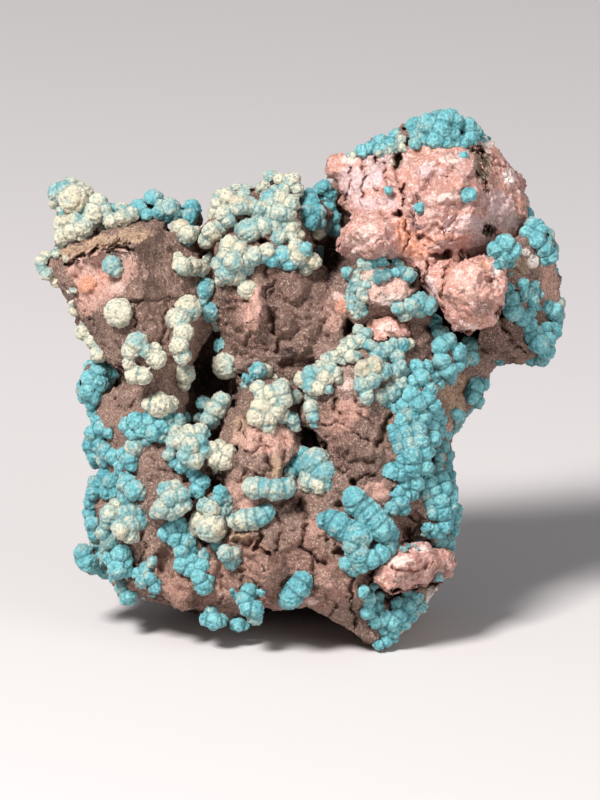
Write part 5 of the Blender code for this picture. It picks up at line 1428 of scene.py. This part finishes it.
def cream_of(tree, shades):
    """The coat where it is thick: cream to tan, with dark specks, and painted shade in its pits and
    creases.
    """
    tan = fit(tree, shades["tan"], 0.5, 0.75)
    cream = blend(tree, tan, srgb(206, 198, 174), srgb(190, 176, 148))
    return coloured(tree, cream, (
        # Painted shade where the grain sinks.
        (shades["rise"], 0, -2.2, 0.8, (104, 110, 98)),
        (shades["fine"], 0.48, 0.38, 0.75, (80, 104, 106)),
        # Painted shade between the lumps.
        (shades["crease"], 0.5, 0, 0.75, (84, 108, 102)),
    ))


def pale_of(tree, shades):
    """The coat where it is thin: a pale blue-green, with painted shade in the creases."""
    fine = fit(tree, shades["fine"], 0.38, 0.62)
    pale = blend(tree, fine, srgb(92, 132, 134), srgb(158, 184, 176))
    # Painted shade between the lumps.
    return coloured(tree, pale, ((shades["crease"], 0.5, 0, 0.7, (58, 104, 106)),))


def coating_of(tree, shades):
    """How thickly a place is coated: the lump's own coat, blotchy, and thinner in the creases."""
    amount = shades["coat"]
    for name, low, high, least, most in (
        ("patches", 0.35, 0.65, -0.3, 0.2),
        ("mottle", 0.3, 0.7, -0.24, 0.24),
        ("crease", 0, 0.4, -0.12, 0),
        ("rise", -2, 2, -0.14, 0.14),
    ):
        amount = sums(tree, "ADD", amount, fit(tree, shades[name], low, high, least, most))
    return amount


def lump_material():
    """Blue-green lumps, granular, with painted shade in their creases, and a blotchy cream coat on
    some.
    """
    material, tree, shader = new_material("veszelyite_lumps")
    shades = lump_shades(tree)
    amount = coating_of(tree, shades)
    thin = fit(tree, amount, 0.2, 0.38)
    thick = fit(tree, amount, 0.4, 0.8)
    colour = blend(tree, thin, teal_of(tree, shades), pale_of(tree, shades))
    colour = blend(tree, thick, colour, cream_of(tree, shades))
    tree.links.new(colour, shader.inputs["Base Color"])
    shader.inputs["Roughness"].default_value = 0.62
    shader.inputs["Sheen Weight"].default_value = 0.35
    shader.inputs["Sheen Roughness"].default_value = 0.4
    shader.inputs["Sheen Tint"].default_value = (0.86, 0.95, 0.94, 1)
    bump(tree, shader, sums(tree, "ADD", shades["mottle"], shades["fine"]), 0.8, 1.2 * TENTH)
    return material


def stained_and_shaded(tree, base, ragged):
    """The base colour with the mesh's staining and painted shadows over it, their edges broken up
    by a noise.
    """
    marks = add_node(tree, "ShaderNodeAttribute", attribute_name="stain_and_shadow")
    amount = sums(tree, "ADD", marks.outputs["Alpha"], fit(tree, ragged, 0.25, 0.75, -0.35, 0.35))
    covered = fit(tree, marks.outputs["Alpha"], 0.02, 0.12)
    amount = sums(tree, "MULTIPLY", fit(tree, amount, 0.2, 0.65), covered)
    return blend(tree, amount, base, marks.outputs["Color"])


def matrix_material():
    """Brown rock with a sugary druse: small dark grains, painted glints, painted shade in the pits
    and painted highlight on the raised grain.
    """
    material, tree, shader = new_material("brown_druse")
    rise = shade_of(tree, "rise")
    broad = noise(tree, 110, 3, 0.5)
    middle = noise(tree, 600, 4, 0.6)
    fine = noise(tree, 4800, 5, 0.75)
    brown = blend(tree, fit(tree, broad, 0.38, 0.62), srgb(112, 84, 72), srgb(142, 111, 96))
    brown = coloured(tree, brown, ((middle, 0.5, 0.72, 1, (104, 76, 65)),))
    brown = stained_and_shaded(tree, brown, middle)
    brown = coloured(tree, brown, (
        # Painted shade where the grain sinks, and painted highlight where it rises.
        (rise, 0, -2.4, 0.75, (84, 60, 52)),
        (rise, 0.6, 2.4, 0.3, (200, 172, 158)),
        # Painted glints on the grain.
        (fine, 0.54, 0.63, 0.7, (216, 192, 178)),
        (fine, 0.48, 0.39, 0.7, (70, 50, 44)),
    ))
    tree.links.new(brown, shader.inputs["Base Color"])
    shader.inputs["Roughness"].default_value = 0.55
    bump(tree, shader, sums(tree, "ADD", middle, fine), 0.95, 1.6 * TENTH)
    return material


def spar_material():
    """Salmon-pink spar with pale streaks, lavender, orange and olive staining, painted shade in its
    pits and painted highlight specks.
    """
    material, tree, shader = new_material("pink_spar")
    rise = shade_of(tree, "rise")
    broad = noise(tree, 150, 3, 0.5)
    middle = noise(tree, 480, 5, 0.65)
    streak = noise(tree, 1500, 6, 0.75)
    fine = noise(tree, 3600, 4, 0.7)
    pink = blend(tree, fit(tree, broad, 0.38, 0.62), srgb(196, 140, 122), srgb(180, 134, 126))
    pink = coloured(tree, pink, (
        (middle, 0.55, 0.72, 1, (210, 180, 170)),
        (middle, 0.42, 0.3, 1, (176, 124, 104)),
    ))
    pink = stained_and_shaded(tree, pink, middle)
    pink = coloured(tree, pink, (
        (streak, 0.56, 0.68, 0.9, (240, 222, 214)),
        (streak, 0.45, 0.33, 0.7, (164, 112, 98)),
        # Painted shade where the grain sinks.
        (rise, 0, -2.4, 0.7, (138, 90, 78)),
        # Painted highlight specks.
        (fine, 0.54, 0.64, 0.6, (244, 226, 218)),
        (fine, 0.46, 0.36, 0.55, (140, 96, 82)),
    ))
    tree.links.new(pink, shader.inputs["Base Color"])
    shader.inputs["Roughness"].default_value = 0.42
    bump(tree, shader, sums(tree, "ADD", streak, fine), 0.8, 1.2 * TENTH)
    return material


# All of it together

def trim_at_floor(mesh):
    """Cuts away what would hang below the base."""
    shape = bmesh.new()
    shape.from_mesh(mesh)
    bmesh.ops.bisect_plane(
        shape, geom=shape.verts[:] + shape.edges[:] + shape.faces[:],
        plane_co=(0, 0, 0), plane_no=(0, 0, -1), clear_outer=True,
    )
    shape.to_mesh(mesh)
    shape.free()


def dress(made, material):
    """Puts a finished piece in the frame with its material."""
    made.data.transform(frame_from_survey())
    trim_at_floor(made.data)
    made.data.materials.clear()
    made.data.materials.append(material)
    made.data.shade_smooth()
    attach(made, "root")
    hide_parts("specimen")


def build_rocks(lumps):
    """The brown and the pink rock, without what the lumps and each other hide."""
    matrix = build_matrix()
    spar = build_spar()
    matrix_tree = tree_of(matrix)
    drop_buried(matrix, lumps, tree_of(spar))
    drop_buried(spar, lumps, matrix_tree)
    thin_out(matrix, MATRIX_TRIANGLES)
    thin_out(spar, SPAR_TRIANGLES)
    brown = matrix_material()
    dress(split_off_back(matrix, "brown_matrix_back"), brown)
    dress(matrix, brown)
    dress(spar, spar_material())


def build_crusts(rock_tree, wraps):
    """All the lumps. Gives back those that are big enough to hide the rock under them."""
    look = lump_material()
    every_lump = list(wraps)
    for name, table in CRUSTS.items():
        lumps = [seat(lump, rock_tree) for lump in table]
        coats = [coat_of(centre, COATED[name]) for centre, _ in lumps]
        dress(build_crust(name, lumps, coats, CRUST_VOXEL, rock_tree), look)
        every_lump += lumps
    lumps, coats = sprinkled_lumps(rock_tree)
    dress(build_crust("sprinkled", lumps, coats, CRUST_VOXEL, rock_tree), look)
    coats = [coat_of(centre, WRAP_COAT) for centre, _ in wraps]
    dress(build_crust("wrapped", wraps, coats, WRAP_VOXEL, rock_tree), look)
    return every_lump


def build_stage():
    """A plain pale floor."""
    plane = bmesh.new()
    bmesh.ops.create_grid(plane, x_segments=1, y_segments=1, size=FLOOR_SIZE)
    floor = object_from(plane, "floor")
    material, _, shader = new_material("pale_floor")
    shader.inputs["Base Color"].default_value = FLOOR_COLOUR
    shader.inputs["Roughness"].default_value = 0.9
    floor.data.materials.append(material)


def build_camera():
    """Looks straight at the display face, as the photograph does."""
    camera = bpy.data.cameras.new("camera")
    camera.sensor_width = CAMERA_SENSOR
    camera.lens = CAMERA_LENS
    camera.clip_end = CAMERA_REACH
    holder = bpy.data.objects.new("camera", camera)
    bpy.context.scene.collection.objects.link(holder)
    target = frame_from_survey() @ at(*FACE_MIDDLE)
    away = Vector((0, -math.cos(LEAN), math.sin(LEAN)))
    holder.location = target + away * CAMERA_AWAY
    holder.rotation_euler = away.to_track_quat("Z", "Y").to_euler()
    bpy.context.scene.camera = holder


def add_light(name, place, size, power):
    """A soft square light that faces the specimen."""
    light = bpy.data.lights.new(name, "AREA")
    light.size = size
    light.energy = power
    holder = bpy.data.objects.new(name, light)
    bpy.context.scene.collection.objects.link(holder)
    holder.location = place
    aim = Vector(place) - LIGHT_AIM
    holder.rotation_euler = aim.to_track_quat("Z", "Y").to_euler()


def build_lights():
    """Two soft lights and a dim even sky."""
    add_light(*KEY_LIGHT)
    add_light(*FILL_LIGHT)
    world = bpy.data.worlds.new("studio")
    world.use_nodes = True
    sky = world.node_tree.nodes["Background"]
    sky.inputs["Color"].default_value = SKY_COLOUR
    sky.inputs["Strength"].default_value = SKY_STRENGTH
    bpy.context.scene.world = world


def main():
    """Sets the stage, and builds the rocks and the lumps."""
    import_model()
    build_camera()
    build_stage()
    build_lights()
    form = rock_form(list(BLOCKS), KNOBS, "form")
    settle(form)
    rock_tree = tree_of(form)
    wraps = wrapped_lumps(form.data)
    bpy.data.objects.remove(form)
    build_rocks(build_crusts(rock_tree, wraps))
    bpy.context.scene.view_settings.view_transform = "Standard"


main()
